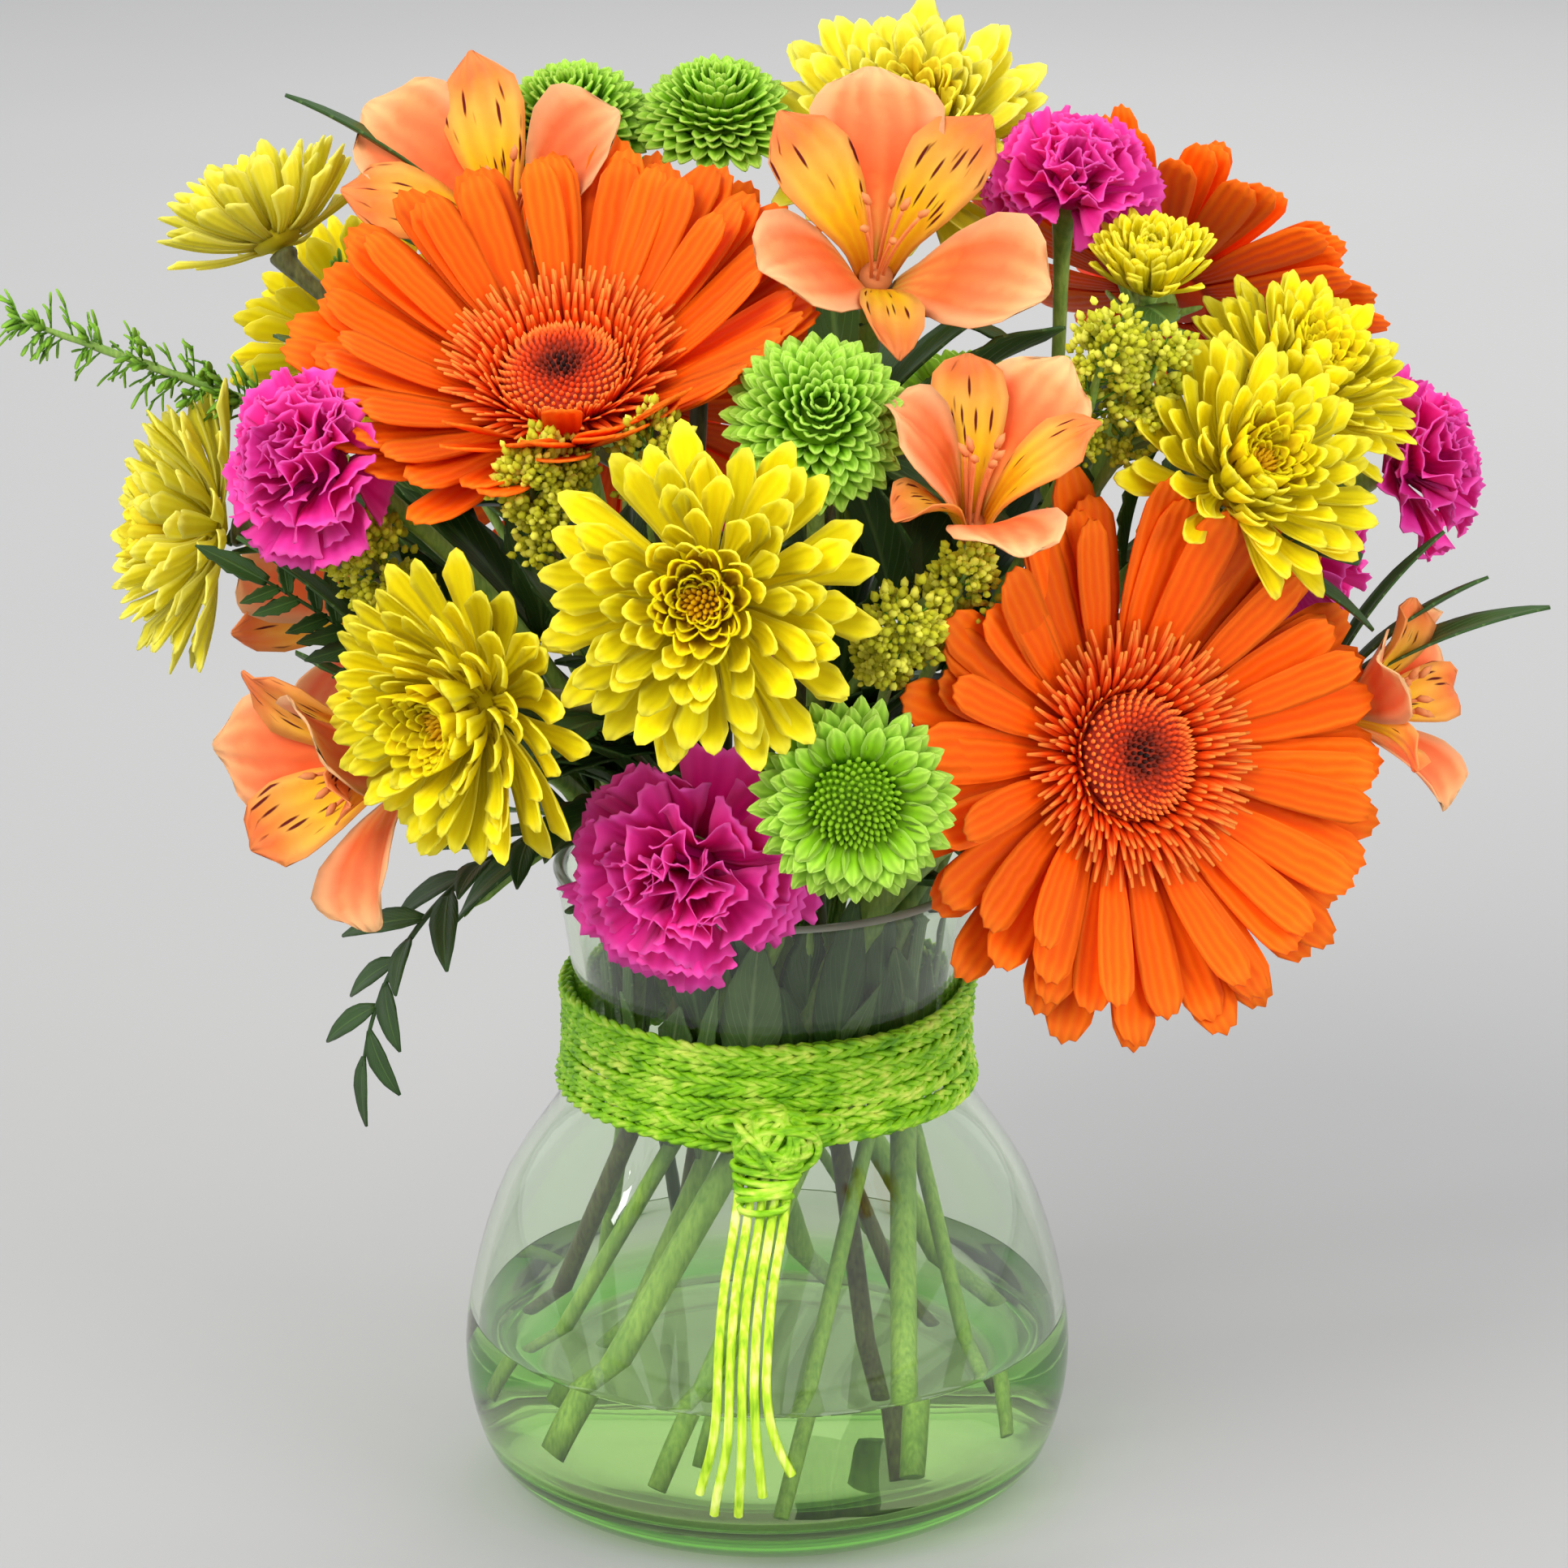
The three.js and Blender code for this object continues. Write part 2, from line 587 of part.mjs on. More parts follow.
// ---------------------------------------------------------------- stems

// The stems stand in a spiral: straight lines that all lean the same way round the neck, and fan
// out further below it. A stem's slot is its place in the outer or the inner ring of the spiral.
function onSpiral(ring, slot, height) {
  const { radius, slope, fan, count, turn } = SPIRAL[ring];
  const angle = rad((360 * slot) / count + turn);
  const reach = (height < SPIRAL.height ? fan : slope) * (height - SPIRAL.height);
  return new THREE.Vector3(
    radius * Math.cos(angle) - reach * Math.sin(angle),
    radius * Math.sin(angle) + reach * Math.cos(angle),
    height,
  );
}

const STEMS = [
  { name: 'gerbera_stem_right', ring: 'outer', slot: 0, foot: 19, radius: 2.8, heads: ['gerbera_right'] },
  { name: 'carnation_stem_back', ring: 'outer', slot: 1, foot: 20, radius: 1.8,
    heads: ['carnation_back', 'carnation_back_right'] },
  { name: 'gerbera_stem_back', ring: 'outer', slot: 3, foot: 14, radius: 2.8, heads: ['gerbera_back'] },
  { name: 'alstroemeria_stem_left', ring: 'outer', slot: 5, foot: 24, radius: 2.2,
    heads: ['alstroemeria_left', 'alstroemeria_back_left', 'alstroemeria_back'] },
  { name: 'carnation_stem_left', ring: 'outer', slot: 7, foot: 13, radius: 1.8,
    heads: ['carnation_left', 'carnation_rim'] },
  { name: 'mum_stem_left', ring: 'outer', slot: 8, foot: 15, radius: 2.3,
    heads: ['mum_left', 'mum_centre', 'mum_far_left'] },
  { name: 'button_stem_front', ring: 'outer', slot: 9, foot: 22, radius: 1.9,
    heads: ['button_front', 'button_daisy'] },
  { name: 'gerbera_stem_front', ring: 'outer', slot: 10, foot: 19, radius: 3, heads: ['gerbera_front'] },
  { name: 'mum_stem_right', ring: 'outer', slot: 11, foot: 18, radius: 2.3,
    heads: ['mum_right', 'mum_small', 'mum_right_upper'] },
  { name: 'carnation_stem_right', ring: 'outer', slot: 12, foot: 14, radius: 1.8,
    heads: ['carnation_right', 'carnation_top'] },
  { name: 'mum_stem_back', ring: 'inner', slot: 0, foot: 14, radius: 2.3,
    heads: ['mum_top', 'mum_top_left', 'mum_back_left'] },
  { name: 'button_stem_back', ring: 'inner', slot: 1, foot: 18, radius: 1.9,
    heads: ['button_top', 'button_top_left', 'button_back'] },
  { name: 'gerbera_stem_top', ring: 'inner', slot: 2, foot: 12, radius: 2.8, heads: ['gerbera_top'] },
  { name: 'alstroemeria_stem_right', ring: 'inner', slot: 4, foot: 20, radius: 2.2,
    heads: ['alstroemeria_top', 'alstroemeria_front', 'alstroemeria_right'] },
];

// Ways to lead a stem to its bloom: the length of its two handles as shares of the way, how far
// its middle is pushed sideways and outwards, in mm, and the share of the stem where it forks.
const WAYS = [];
for (const push of [0, 5, -5, 10, -10, 16, -16]) {
  for (const swell of [0, 6, -6, 12]) {
    for (const handle of [0.34, 0.2, 0.5]) {
      for (const fork of [0.62, 0.54, 0.7]) WAYS.push({ push, swell, handle, fork });
    }
  }
}
const detour = (way) => Math.abs(way.push) + Math.abs(way.swell);
WAYS.sort((one, other) => detour(one) - detour(other));

// The upper part of a stem, from a start with a direction to a seat that it meets along an axis.
function wayUp(start, direction, seat, axis, { push, swell, handle }) {
  const reach = start.distanceTo(seat) * handle;
  const across = new THREE.Vector3(-start.y - seat.y, start.x + seat.x, 0).normalize();
  const outward = new THREE.Vector3(start.x + seat.x, start.y + seat.y, 0).normalize();
  const aside = across.multiplyScalar(push).add(outward.multiplyScalar(swell));
  return new THREE.CubicBezierCurve3(
    start,
    start.clone().addScaledVector(direction, reach).add(aside),
    seat.clone().addScaledVector(axis, -reach).add(aside),
    seat,
  );
}

// The pointed bracts round the cup of a gerbera.
function bractsOf(bloom) {
  const { cup, hub } = KINDS[bloom.kind];
  const [waist, depth] = [cup.waist * bloom.size, cup.depth * bloom.size];
  return Array.from({ length: cup.bracts }, (_, i) => blade({
    section: 'folded', thick: 1, azimuth: (2 * Math.PI * i) / cup.bracts, root: waist * 0.5,
    base: hub[0][1] * bloom.size - GAP - depth * 0.75, length: depth * 1.3, pitch: rad(36), curl: rad(-8),
    stations: [[0, 3], [1, 1]],
  }, bloom.frame));
}

// Where a stem ends, at the top of its cup just under the bloom's hub, and the way it points there.
function seatOf(bloom) {
  const axis = new THREE.Vector3().setFromMatrixColumn(bloom.frame, 2);
  const drop = KINDS[bloom.kind].hub[0][1] * bloom.size - GAP;
  return { axis, seat: new THREE.Vector3(0, 0, drop).applyMatrix4(bloom.frame) };
}

const RIM_CLEAR = 128; // the height at which a stem leaves the spiral

// A stem or branch up to a head. It swells into the cup under the bloom.
function stemTo(bloom, path, radius, steps, sides) {
  const { cup } = KINDS[bloom.kind];
  const { axis } = seatOf(bloom);
  const neck = 1 - (cup.depth * bloom.size) / path.getLength();
  const stations = Array.from({ length: steps }, (_, i) => [(neck * i) / (steps - 1), radius]);
  stations.push([neck * 0.4 + 0.6, cup.waist * bloom.size, axis], [1, cup.top * bloom.size, axis]);
  return stalk(path, sides, stations);
}

// Leads a stem or branch up to a bloom by the first way that is clear.
function lead(stem, bloom, make) {
  const { axis, seat } = seatOf(bloom);
  for (const way of WAYS) {
    const { path, radius, steps, sides } = make(seat, axis, way);
    const thin = [0, 0.25, 0.5, 0.75, 0.95].map((share) => [share, radius + CLEARANCE]);
    if (meets(stalk(path, 5, thin), stem.name)) continue;
    const solid = stemTo(bloom, path, radius, steps, sides);
    if (!meets(solid, stem.name)) return { path, solid };
  }
  const { path, radius, steps, sides } = make(seat, axis, WAYS[0]);
  return { path, solid: stemTo(bloom, path, radius, steps, sides) };
}

for (const stem of STEMS) {
  const [first, ...others] = stem.heads.map((name) => BLOOMS.find((bloom) => bloom.name === name));
  const low = [stem.foot, 45, 80, 105, RIM_CLEAR].map((height) => onSpiral(stem.ring, stem.slot, height));
  const leaving = low[4].clone().sub(low[3]).normalize();
  const sides = first.kind === 'gerbera' ? 7 : 5;
  const main = lead(stem, first, (seat, axis, way) => {
    const upper = wayUp(low[4], leaving, seat, axis, way).getPoints(5);
    const path = new THREE.CatmullRomCurve3([...low.slice(0, 4), ...upper], false, 'centripetal');
    return { path, radius: stem.radius, steps: 7, sides };
  });
  const branches = others.map((bloom) => lead(stem, bloom, (seat, axis, way) => ({
    path: wayUp(main.path.getPointAt(way.fork), main.path.getTangentAt(way.fork), seat, axis, way),
    radius: stem.radius * 0.75,
    steps: 3,
    sides: 5,
  })));
  stem.tubes = [main, ...branches];
  stem.pieces = [...stem.tubes.map((piece) => piece.solid), ...bractsOf(first)];
  stand(stem.name, stem.pieces);
}

// ---------------------------------------------------------------- fillers

// A plume of tiny florets: a tapered twig with its surface raised into florets, checkerwise.
function plume(curve, radius, rings) {
  const { normals, binormals } = curve.computeFrenetFrames(rings, false);
  const sides = 4;
  const list = [];
  for (let j = 0; j <= rings; j += 1) {
    const share = j / rings;
    const girth = radius * (0.3 + 0.7 * Math.sin(Math.PI * (0.12 + 0.8 * share)));
    const centre = curve.getPointAt(share);
    list.push(Array.from({ length: sides }, (_, i) => {
      const angle = (-2 * Math.PI * i) / sides;
      const reach = girth * ((i + j) % 2 ? 1.2 : 0.62);
      return centre.clone()
        .addScaledVector(normals[j], reach * Math.cos(angle))
        .addScaledVector(binormals[j], reach * Math.sin(angle));
    }));
  }
  return loft(list, new THREE.Matrix4());
}

const FLORET = 5; // the height of a row of florets
const TURNS = [0, 12, -12, 24, -24, 36, -36]; // how far a plume may turn aside, in degrees

// Each filler spray stands in a slot of the spiral, and forks to plumes. A plume starts at a
// point and points along an azimuth and an elevation.
const FILLERS = [
  { name: 'filler_left', ring: 'inner', slot: 3, foot: 22, radius: 1.5, plumes: [
    { from: [-22, -68, 238], look: [0, 40], length: 18, radius: 4 },
    { from: [-34, -66, 232], look: [-40, 40], length: 20, radius: 4 },
    { from: [-68, -52, 206], look: [-50, 48], length: 28, radius: 4 },
    { from: [-40, -70, 222], look: [-30, 60], length: 26, radius: 3.6 },
  ] },
  { name: 'filler_right', ring: 'inner', slot: 5, foot: 18, radius: 1.5, plumes: [
    { from: [62, -42, 238], look: [20, 62], length: 34, radius: 4.2 },
    { from: [70, -40, 236], look: [50, 66], length: 28, radius: 3.6 },
    { from: [24, -74, 200], look: [10, 48], length: 26, radius: 4 },
    { from: [34, -66, 204], look: [30, 62], length: 24, radius: 3.6 },
  ] },
  { name: 'filler_spike', ring: 'outer', slot: 4, foot: 26, radius: 1.6, plumes: [
    { from: [-100, -4, 236], look: [-90, 20], length: 58, radius: 4.2 },
    { from: [-70, 40, 222], look: [-110, 52], length: 40, radius: 4 },
    { from: [-30, 66, 250], look: [190, 62], length: 34, radius: 4 },
  ] },
];

for (const filler of FILLERS) {
  const low = [filler.foot, 60, 105, RIM_CLEAR].map((height) => onSpiral(filler.ring, filler.slot, height));
  const leaving = low[3].clone().sub(low[2]).normalize();
  const pieces = [];
  filler.plumes.forEach(({ from, look, length, radius }, i) => {
    const start = new THREE.Vector3(...from);
    const axis = new THREE.Vector3().setFromMatrixColumn(frameOf(from, look), 2);
    const twig = (way) => {
      const upper = wayUp(low[3], leaving, start, axis, way);
      if (i) return { path: upper, radius: filler.radius * 0.7, steps: 3 };
      const points = [...low.slice(0, 3), ...upper.getPoints(4)];
      const path = new THREE.CatmullRomCurve3(points, false, 'centripetal');
      return { path, radius: filler.radius, steps: 8 };
    };
    const way = WAYS.find((candidate) => {
      const { path, radius: thick, steps } = twig(candidate);
      return !meets(tube(path, thick + CLEARANCE, 5, steps), filler.name);
    });
    if (!way) return;
    const spikeFor = (turn, grow) => {
      const aim = new THREE.Vector3().setFromMatrixColumn(frameOf(from, [look[0] + turn, look[1]]), 2);
      const root = start.clone().addScaledVector(axis, -1.5);
      const path = new THREE.QuadraticBezierCurve3(root, root.clone().addScaledVector(axis, length * 0.4),
        root.clone().addScaledVector(aim, length));
      return plume(path, radius + grow, Math.round(length / FLORET));
    };
    const turn = TURNS.find((angle) => !meets(spikeFor(angle, CLEARANCE), filler.name));
    if (turn === undefined) return;
    const { path, radius: thick, steps } = twig(way);
    pieces.push(tube(path, thick, 4, steps), spikeFor(turn, 0));
  });
  stand(filler.name, pieces);
  addNode(filler.name, join(pieces), LOOKS.straw);
}

// ---------------------------------------------------------------- blooms

// The dark disc of a gerbera, which sits on its hub: a low dome of florets.
function eyeOf(bloom) {
  const profile = [[0, GAP], [13, 1.5], [9.5, 4], [4.6, 4.6], [0, 6.4]];
  return turned(profile.map(([r, z]) => [r * bloom.size, z * bloom.size]), 12, bloom.frame, 0.8);
}

for (const bloom of BLOOMS) {
  if (bloom.kind !== 'gerbera') continue;
  const eye = eyeOf(bloom);
  stand(`${bloom.name}_eye`, [eye]);
  addNode(`${bloom.name}_eye`, eye, LOOKS.eye, bloom.frame);
}

BLOOMS.forEach((bloom, seed) => {
  const { tiers, crowded, look } = KINDS[bloom.kind];
  const columns = columnsOf(bloom);
  const petals = new Map();
  const [blades, rooted] = [[], []];
  for (let row = 0; row < tiers.length; row += 1) {
    for (let column = 0; column < columns; column += 1) {
      if (!crowded && (row + column) % 2) continue;
      const cell = cellOf(bloom, row, column);
      const petal = fit(petalOf(bloom, seed, row, column), bloom.frame, bloom.name, blades, cell);
      if (petal) {
        petals.set(`${row} ${column}`, petal);
        blades.push(blade(petal, bloom.frame));
        rooted.push(blade(petal, bloom.frame, 0, cell));
      }
    }
  }
  stand(bloom.name, rooted);
  addNode(bloom.name, headOf(bloom, petals), look, bloom.frame);
});

// ---------------------------------------------------------------- leaves

// Widths along a leaf with a toothed edge: from the stalk to a point, each tooth a step out.
function toothed(width, teeth) {
  const list = [[0, 2]];
  for (let i = 0; i < teeth; i += 1) {
    const share = (i + 0.6) / (teeth + 0.2);
    const full = width * Math.sin(Math.PI * (0.14 + 0.8 * share));
    list.push([share, full * 0.62], [share + 0.3 / teeth, full]);
  }
  list.push([1, 1]);
  return list;
}

const NARROW = (width) => [[0, 2], [0.45, width], [1, 1]];

// A leaf grows from a share of the way along a stem's tube. Its azimuth is about the vertical,
// 0 being to the right and 90 to the back, and its pitch is above the level.
const LEAVES = [
  { stem: 'mum_stem_right', tube: 0, share: 0.86, azimuth: -22,
    length: 58, pitch: 16, curl: -42, widths: toothed(17, 4) },
  { stem: 'mum_stem_right', tube: 0, share: 0.7, azimuth: 20,
    length: 44, pitch: 30, curl: -50, widths: toothed(15, 3) },
  { stem: 'mum_stem_left', tube: 0, share: 0.72, azimuth: 205,
    length: 46, pitch: 40, curl: -50, widths: toothed(15, 3) },
  { stem: 'mum_stem_back', tube: 0, share: 0.7, azimuth: 95,
    length: 50, pitch: 40, curl: -40, widths: toothed(15, 3) },
  { stem: 'mum_stem_back', tube: 1, share: 0.7, azimuth: 150,
    length: 42, pitch: 30, curl: -30, widths: toothed(13, 3) },
  { stem: 'alstroemeria_stem_right', tube: 0, share: 0.86, azimuth: 20,
    length: 46, pitch: 50, curl: -30, widths: NARROW(9) },
  { stem: 'alstroemeria_stem_right', tube: 0, share: 0.8, azimuth: 250,
    length: 40, pitch: 40, curl: -40, widths: NARROW(9) },
  { stem: 'alstroemeria_stem_left', tube: 1, share: 0.8, azimuth: 160,
    length: 48, pitch: 60, curl: -50, widths: NARROW(9) },
  { stem: 'alstroemeria_stem_left', tube: 0, share: 0.66, azimuth: 215,
    length: 40, pitch: 10, curl: -60, widths: NARROW(9) },
  { stem: 'carnation_stem_back', tube: 0, share: 0.66, azimuth: 70,
    length: 40, pitch: 20, curl: -50, widths: NARROW(7) },
  { stem: 'gerbera_stem_front', tube: 0, share: 0.5, azimuth: 300,
    length: 26, pitch: 82, curl: 0, widths: NARROW(10) },
  { stem: 'mum_stem_left', tube: 0, share: 0.5, azimuth: 250,
    length: 26, pitch: 80, curl: 0, widths: NARROW(12) },
  { stem: 'button_stem_front', tube: 0, share: 0.44, azimuth: 280,
    length: 28, pitch: 80, curl: 0, widths: NARROW(10) },
  { stem: 'carnation_stem_left', tube: 0, share: 0.46, azimuth: 190,
    length: 26, pitch: 80, curl: 0, widths: NARROW(9) },
];

// A leaf as a petal is, from where it leaves its stem.
function leafOf({ azimuth, length, pitch, curl, widths }) {
  return {
    section: 'folded', thick: 1, azimuth: rad(azimuth), root: 0, base: 0,
    length, pitch: rad(pitch), curl: rad(curl), stations: widths,
  };
}

for (const leaf of LEAVES) {
  const stem = STEMS.find((candidate) => candidate.name === leaf.stem);
  const frame = new THREE.Matrix4().setPosition(stem.tubes[leaf.tube].path.getPointAt(leaf.share));
  const found = fit(leafOf(leaf), frame, leaf.stem);
  if (!found) continue;
  const piece = blade(found, frame);
  stem.pieces.push(piece);
  stand(leaf.stem, [piece]);
}

// The fern: a stalk in the outer ring that forks to an upright frond and a hanging one.
const FERN = { ring: 'outer', slot: 6, foot: 40, radius: 1.4, crown: [-52, -40, 172], look: [-60, 45] };
const FRONDS = [
  { share: 0.98, azimuth: 190, length: 66, pitch: 40, curl: -16, widths: toothed(24, 7) },
  { share: 0.82, azimuth: 214, length: 74, pitch: 6, curl: -88, widths: toothed(22, 8) },
];

function fernSolid() {
  const low = [FERN.foot, 75, 105, RIM_CLEAR].map((height) => onSpiral(FERN.ring, FERN.slot, height));
  const crown = new THREE.Vector3(...FERN.crown);
  const axis = new THREE.Vector3().setFromMatrixColumn(frameOf(FERN.crown, FERN.look), 2);
  const pathFor = (way) => new THREE.CatmullRomCurve3([
    ...low.slice(0, 3),
    ...wayUp(low[3], low[3].clone().sub(low[2]).normalize(), crown, axis, way).getPoints(4),
  ], false, 'centripetal');
  const way = WAYS.find((candidate) => (
    !meets(tube(pathFor(candidate), FERN.radius + CLEARANCE, 5, 8), 'fern')));
  const path = pathFor(way ?? WAYS[0]);
  const pieces = [tube(path, FERN.radius, 5, 8)];
  for (const frond of FRONDS) {
    const frame = new THREE.Matrix4().setPosition(path.getPointAt(frond.share));
    const found = fit(leafOf(frond), frame, 'fern');
    if (found) pieces.push(blade(found, frame));
  }
  return pieces;
}

const fern = fernSolid();
stand('fern', fern);
addNode('fern', join(fern), LOOKS.leaf);

// ---------------------------------------------------------------- water

// The water stops at its level and has a plain hole for each stem.
function water() {
  const below = glassInside.filter((point) => point.y < WATER_LEVEL - 2);
  const wet = below.map((point) => [point.x - GAP, point.y]);
  const bottom = VASE.floor + GAP;
  const profile = [[0, bottom], [wet[0][0] - 4, bottom], ...wet,
    [radiusAt(glassInside, WATER_LEVEL) - GAP, WATER_LEVEL], [0, WATER_LEVEL]];
  const holes = [...STEMS, ...FILLERS].map(({ ring, slot, foot, radius }) => {
    const ends = [foot - 2 * GAP, WATER_LEVEL + 5].map((height) => onSpiral(ring, slot, height));
    return tube(new THREE.LineCurve3(...ends), (radius + GAP) / Math.cos(Math.PI / 6), 6, 1);
  });
  return holes.reduce((rest, hole) => rest.subtract(hole), turned(profile, VASE.sides));
}

addNode('water', water(), WATER);

for (const stem of STEMS) addNode(stem.name, join(stem.pieces), LOOKS.stem);

export default part;
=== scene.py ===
import math
import random
from math import cos, pi, radians, sin

import bmesh
import bpy
import numpy as np
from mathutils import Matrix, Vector
from mathutils.bvhtree import BVHTree
from mathutils.kdtree import KDTree


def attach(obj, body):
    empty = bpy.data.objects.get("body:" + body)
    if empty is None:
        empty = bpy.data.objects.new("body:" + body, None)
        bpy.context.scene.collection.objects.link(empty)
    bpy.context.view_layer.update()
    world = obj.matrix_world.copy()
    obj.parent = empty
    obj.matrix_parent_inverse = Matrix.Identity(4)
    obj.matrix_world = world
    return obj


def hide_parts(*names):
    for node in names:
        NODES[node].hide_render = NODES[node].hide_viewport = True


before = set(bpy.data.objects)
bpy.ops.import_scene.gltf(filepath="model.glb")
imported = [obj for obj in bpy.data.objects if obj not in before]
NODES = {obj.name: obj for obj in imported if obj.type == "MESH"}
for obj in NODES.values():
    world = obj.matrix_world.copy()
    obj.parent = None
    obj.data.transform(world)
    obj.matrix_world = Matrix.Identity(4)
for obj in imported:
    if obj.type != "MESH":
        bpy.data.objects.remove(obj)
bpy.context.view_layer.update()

MM = 0.001


# ---------------------------------------------------------------- studio
# A pale floor, a large soft key light from the left, a fill and a light from behind, which stand
# at places in metres. The camera looks down on the vase by 18 degrees from the front.

def let_go():
    """Nothing is in edit mode and nothing is selected."""
    if bpy.context.object and bpy.context.object.mode != "OBJECT":
        bpy.ops.object.mode_set(mode="OBJECT")
    bpy.ops.object.select_all(action="DESELECT")


def tint(red, green, blue):
    """A colour as it is seen, from 0 to 255, as the light that a shader works with."""
    shares = [c / 255 for c in (red, green, blue)]
    light = [c / 12.92 if c <= 0.04045 else ((c + 0.055) / 1.055) ** 2.4 for c in shares]
    return (*light, 1.0)


AIM = Vector((3.6, 0, 154.4)) * MM
TILT = radians(18)
DISTANCE = 1200 * MM
VIEW_WIDTH = 328.4 * MM
FILM = 36
LAMPS_AIM = Vector((0, 0, 0.18))

let_go()
back_off = Vector((0, -cos(TILT), sin(TILT))) * DISTANCE
bpy.ops.object.camera_add(location=AIM + back_off, rotation=(pi / 2 - TILT, 0, 0))
camera = bpy.context.object
camera.data.sensor_width = FILM
camera.data.lens = FILM * DISTANCE / VIEW_WIDTH
camera.data.clip_end = 20
bpy.context.scene.camera = camera


def studio_light(name, at, size, power, warmth, mirrored=False):
    """A softbox that faces the bouquet. A mirrored one also shows as a streak on the glass."""
    aim = LAMPS_AIM - Vector(at)
    bpy.ops.object.light_add(type="AREA", location=at, rotation=aim.to_track_quat("-Z", "Y").to_euler())
    light = bpy.context.object
    light.name = name
    light.data.shape = "RECTANGLE"
    light.data.size, light.data.size_y = size
    light.data.energy = power
    light.data.color = warmth
    light.visible_transmission = False
    light.visible_glossy = mirrored


studio_light("key_light", (-0.9, -1.3, 1.5), (1.1, 1.1), 36, (1, 0.985, 0.96))
studio_light("fill_light", (1.5, -1.2, 0.8), (1.2, 1.2), 24, (0.97, 0.985, 1))
studio_light("back_light", (0.3, 1.5, 1.3), (1.2, 1.2), 20, (1, 0.99, 0.97))
studio_light("streak_light", (-1.7, -0.35, 1.35), (0.1, 0.6), 4, (1, 1, 1), mirrored=True)

world = bpy.context.scene.world or bpy.data.worlds.new("studio")
bpy.context.scene.world = world
world.use_nodes = True
world.node_tree.nodes["Background"].inputs["Color"].default_value = (0.9, 0.91, 0.92, 1)
world.node_tree.nodes["Background"].inputs["Strength"].default_value = 0.96
bpy.context.scene.view_settings.view_transform = "Standard"


def new_material(name):
    """A material with its one main shader, and a function that adds and links nodes."""
    material = bpy.data.materials.new(name)
    material.use_nodes = True
    tree = material.node_tree
    main = tree.nodes["Principled BSDF"]

    def add(kind, links=None, **settings):
        node = tree.nodes.new(kind)
        for key, value in settings.items():
            setattr(node, key, value)
        for socket, source in (links or {}).items():
            if isinstance(source, (int, float, tuple)):
                node.inputs[socket].default_value = source
            else:
                tree.links.new(source, node.inputs[socket])
        return node

    return material, tree, main, add


def spread(add, value, start, stop, to_start=0, to_stop=1):
    """A number that runs from to_start to to_stop while a value runs from start to stop."""
    limits = {"From Min": start, "From Max": stop, "To Min": to_start, "To Max": to_stop}
    return add("ShaderNodeMapRange", {"Value": value, **limits}).outputs[0]


floor_material, tree, main, add = new_material("floor_paper")
grain = add("ShaderNodeTexNoise", {"Scale": 60.0, "Detail": 4.0}).outputs["Fac"]
shade = spread(add, grain, 0, 1, 0.345, 0.36)
grey = add("ShaderNodeCombineColor", {0: shade, 1: shade, 2: shade})
tree.links.new(grey.outputs[0], main.inputs["Base Color"])
main.inputs["Roughness"].default_value = 0.9
let_go()
bpy.ops.mesh.primitive_plane_add(size=12)
floor = bpy.context.object
floor.name = "floor"
floor.data.materials.append(floor_material)


# ---------------------------------------------------------------- raffia tails
# The free ends of the raffia tie hang from its knot over the belly of the vase. Each is one
# limp strand, dyed lime green, two millimetres wide.

TAIL_WIDTH = 2
FALL = [(86.3, 47.6), (82, 49), (77, 51.4), (72, 54.2), (67, 57.2), (62, 60), (57, 62.4), (52, 64.2),
        (47, 65.6), (42, 66.5), (37, 67), (32, 67.2), (27, 67), (22, 66.4), (17, 65.2)]
TAILS = {
    "tail_1": (-5.2, -5.7, -6.4, -7.3, -8.3, -9, -9.5, -9.8, -10, -10.2, -10.6, -11.4, -12.6, -13.8),
    "tail_2": (-2.6, -3.2, -3.9, -4.8, -5.8, -6.5, -7, -7.3, -7.5, -7.6, -7.8, -8.3, -9.2, -10.2, -10.8),
    "tail_3": (0, -0.7, -1.4, -2.3, -3.3, -4, -4.5, -4.8, -5, -5, -5, -5.1, -5.3, -5.6, -5.8),
    "tail_4": (2.6, 1.8, 1.1, 0.2, -0.8, -1.5, -2, -2.3, -2.5, -2.4, -2.2, -1.8, -1.3, -0.8),
    "tail_5": (5.2, 4.3, 3.6, 2.7, 1.7, 1, 0.5, 0.2, 0, 0.3, 1.2, 2.9, 5.2),
}


def reckon(add, how, *values):
    """What a math node makes of its values."""
    return add("ShaderNodeMath", dict(enumerate(values)), operation=how).outputs[0]


def mottle(add, place, scale, detail=2):
    """Cloudy noise over a piece, from 0 to 1."""
    return add("ShaderNodeTexNoise", {"Vector": place, "Scale": scale, "Detail": detail}).outputs["Fac"]


def colour_steps(add, value, steps):
    """The colour that belongs to a value. steps are (value, colour as it is seen)."""
    ramp = add("ShaderNodeValToRGB", {"Fac": value})
    marks = ramp.color_ramp.elements
    for mark, (place, colour) in zip(marks, (steps[0], steps[-1])):
        mark.position, mark.color = place, tint(*colour)
    for place, colour in steps[1:-1]:
        marks.new(place).color = tint(*colour)
    return ramp.outputs[0]


def ridge(tree, main, add, height, strength, depth):
    """Fine ridges and grooves on a surface."""
    bump = add("ShaderNodeBump", {"Height": height, "Strength": strength, "Distance": depth})
    tree.links.new(bump.outputs[0], main.inputs["Normal"])
    return bump


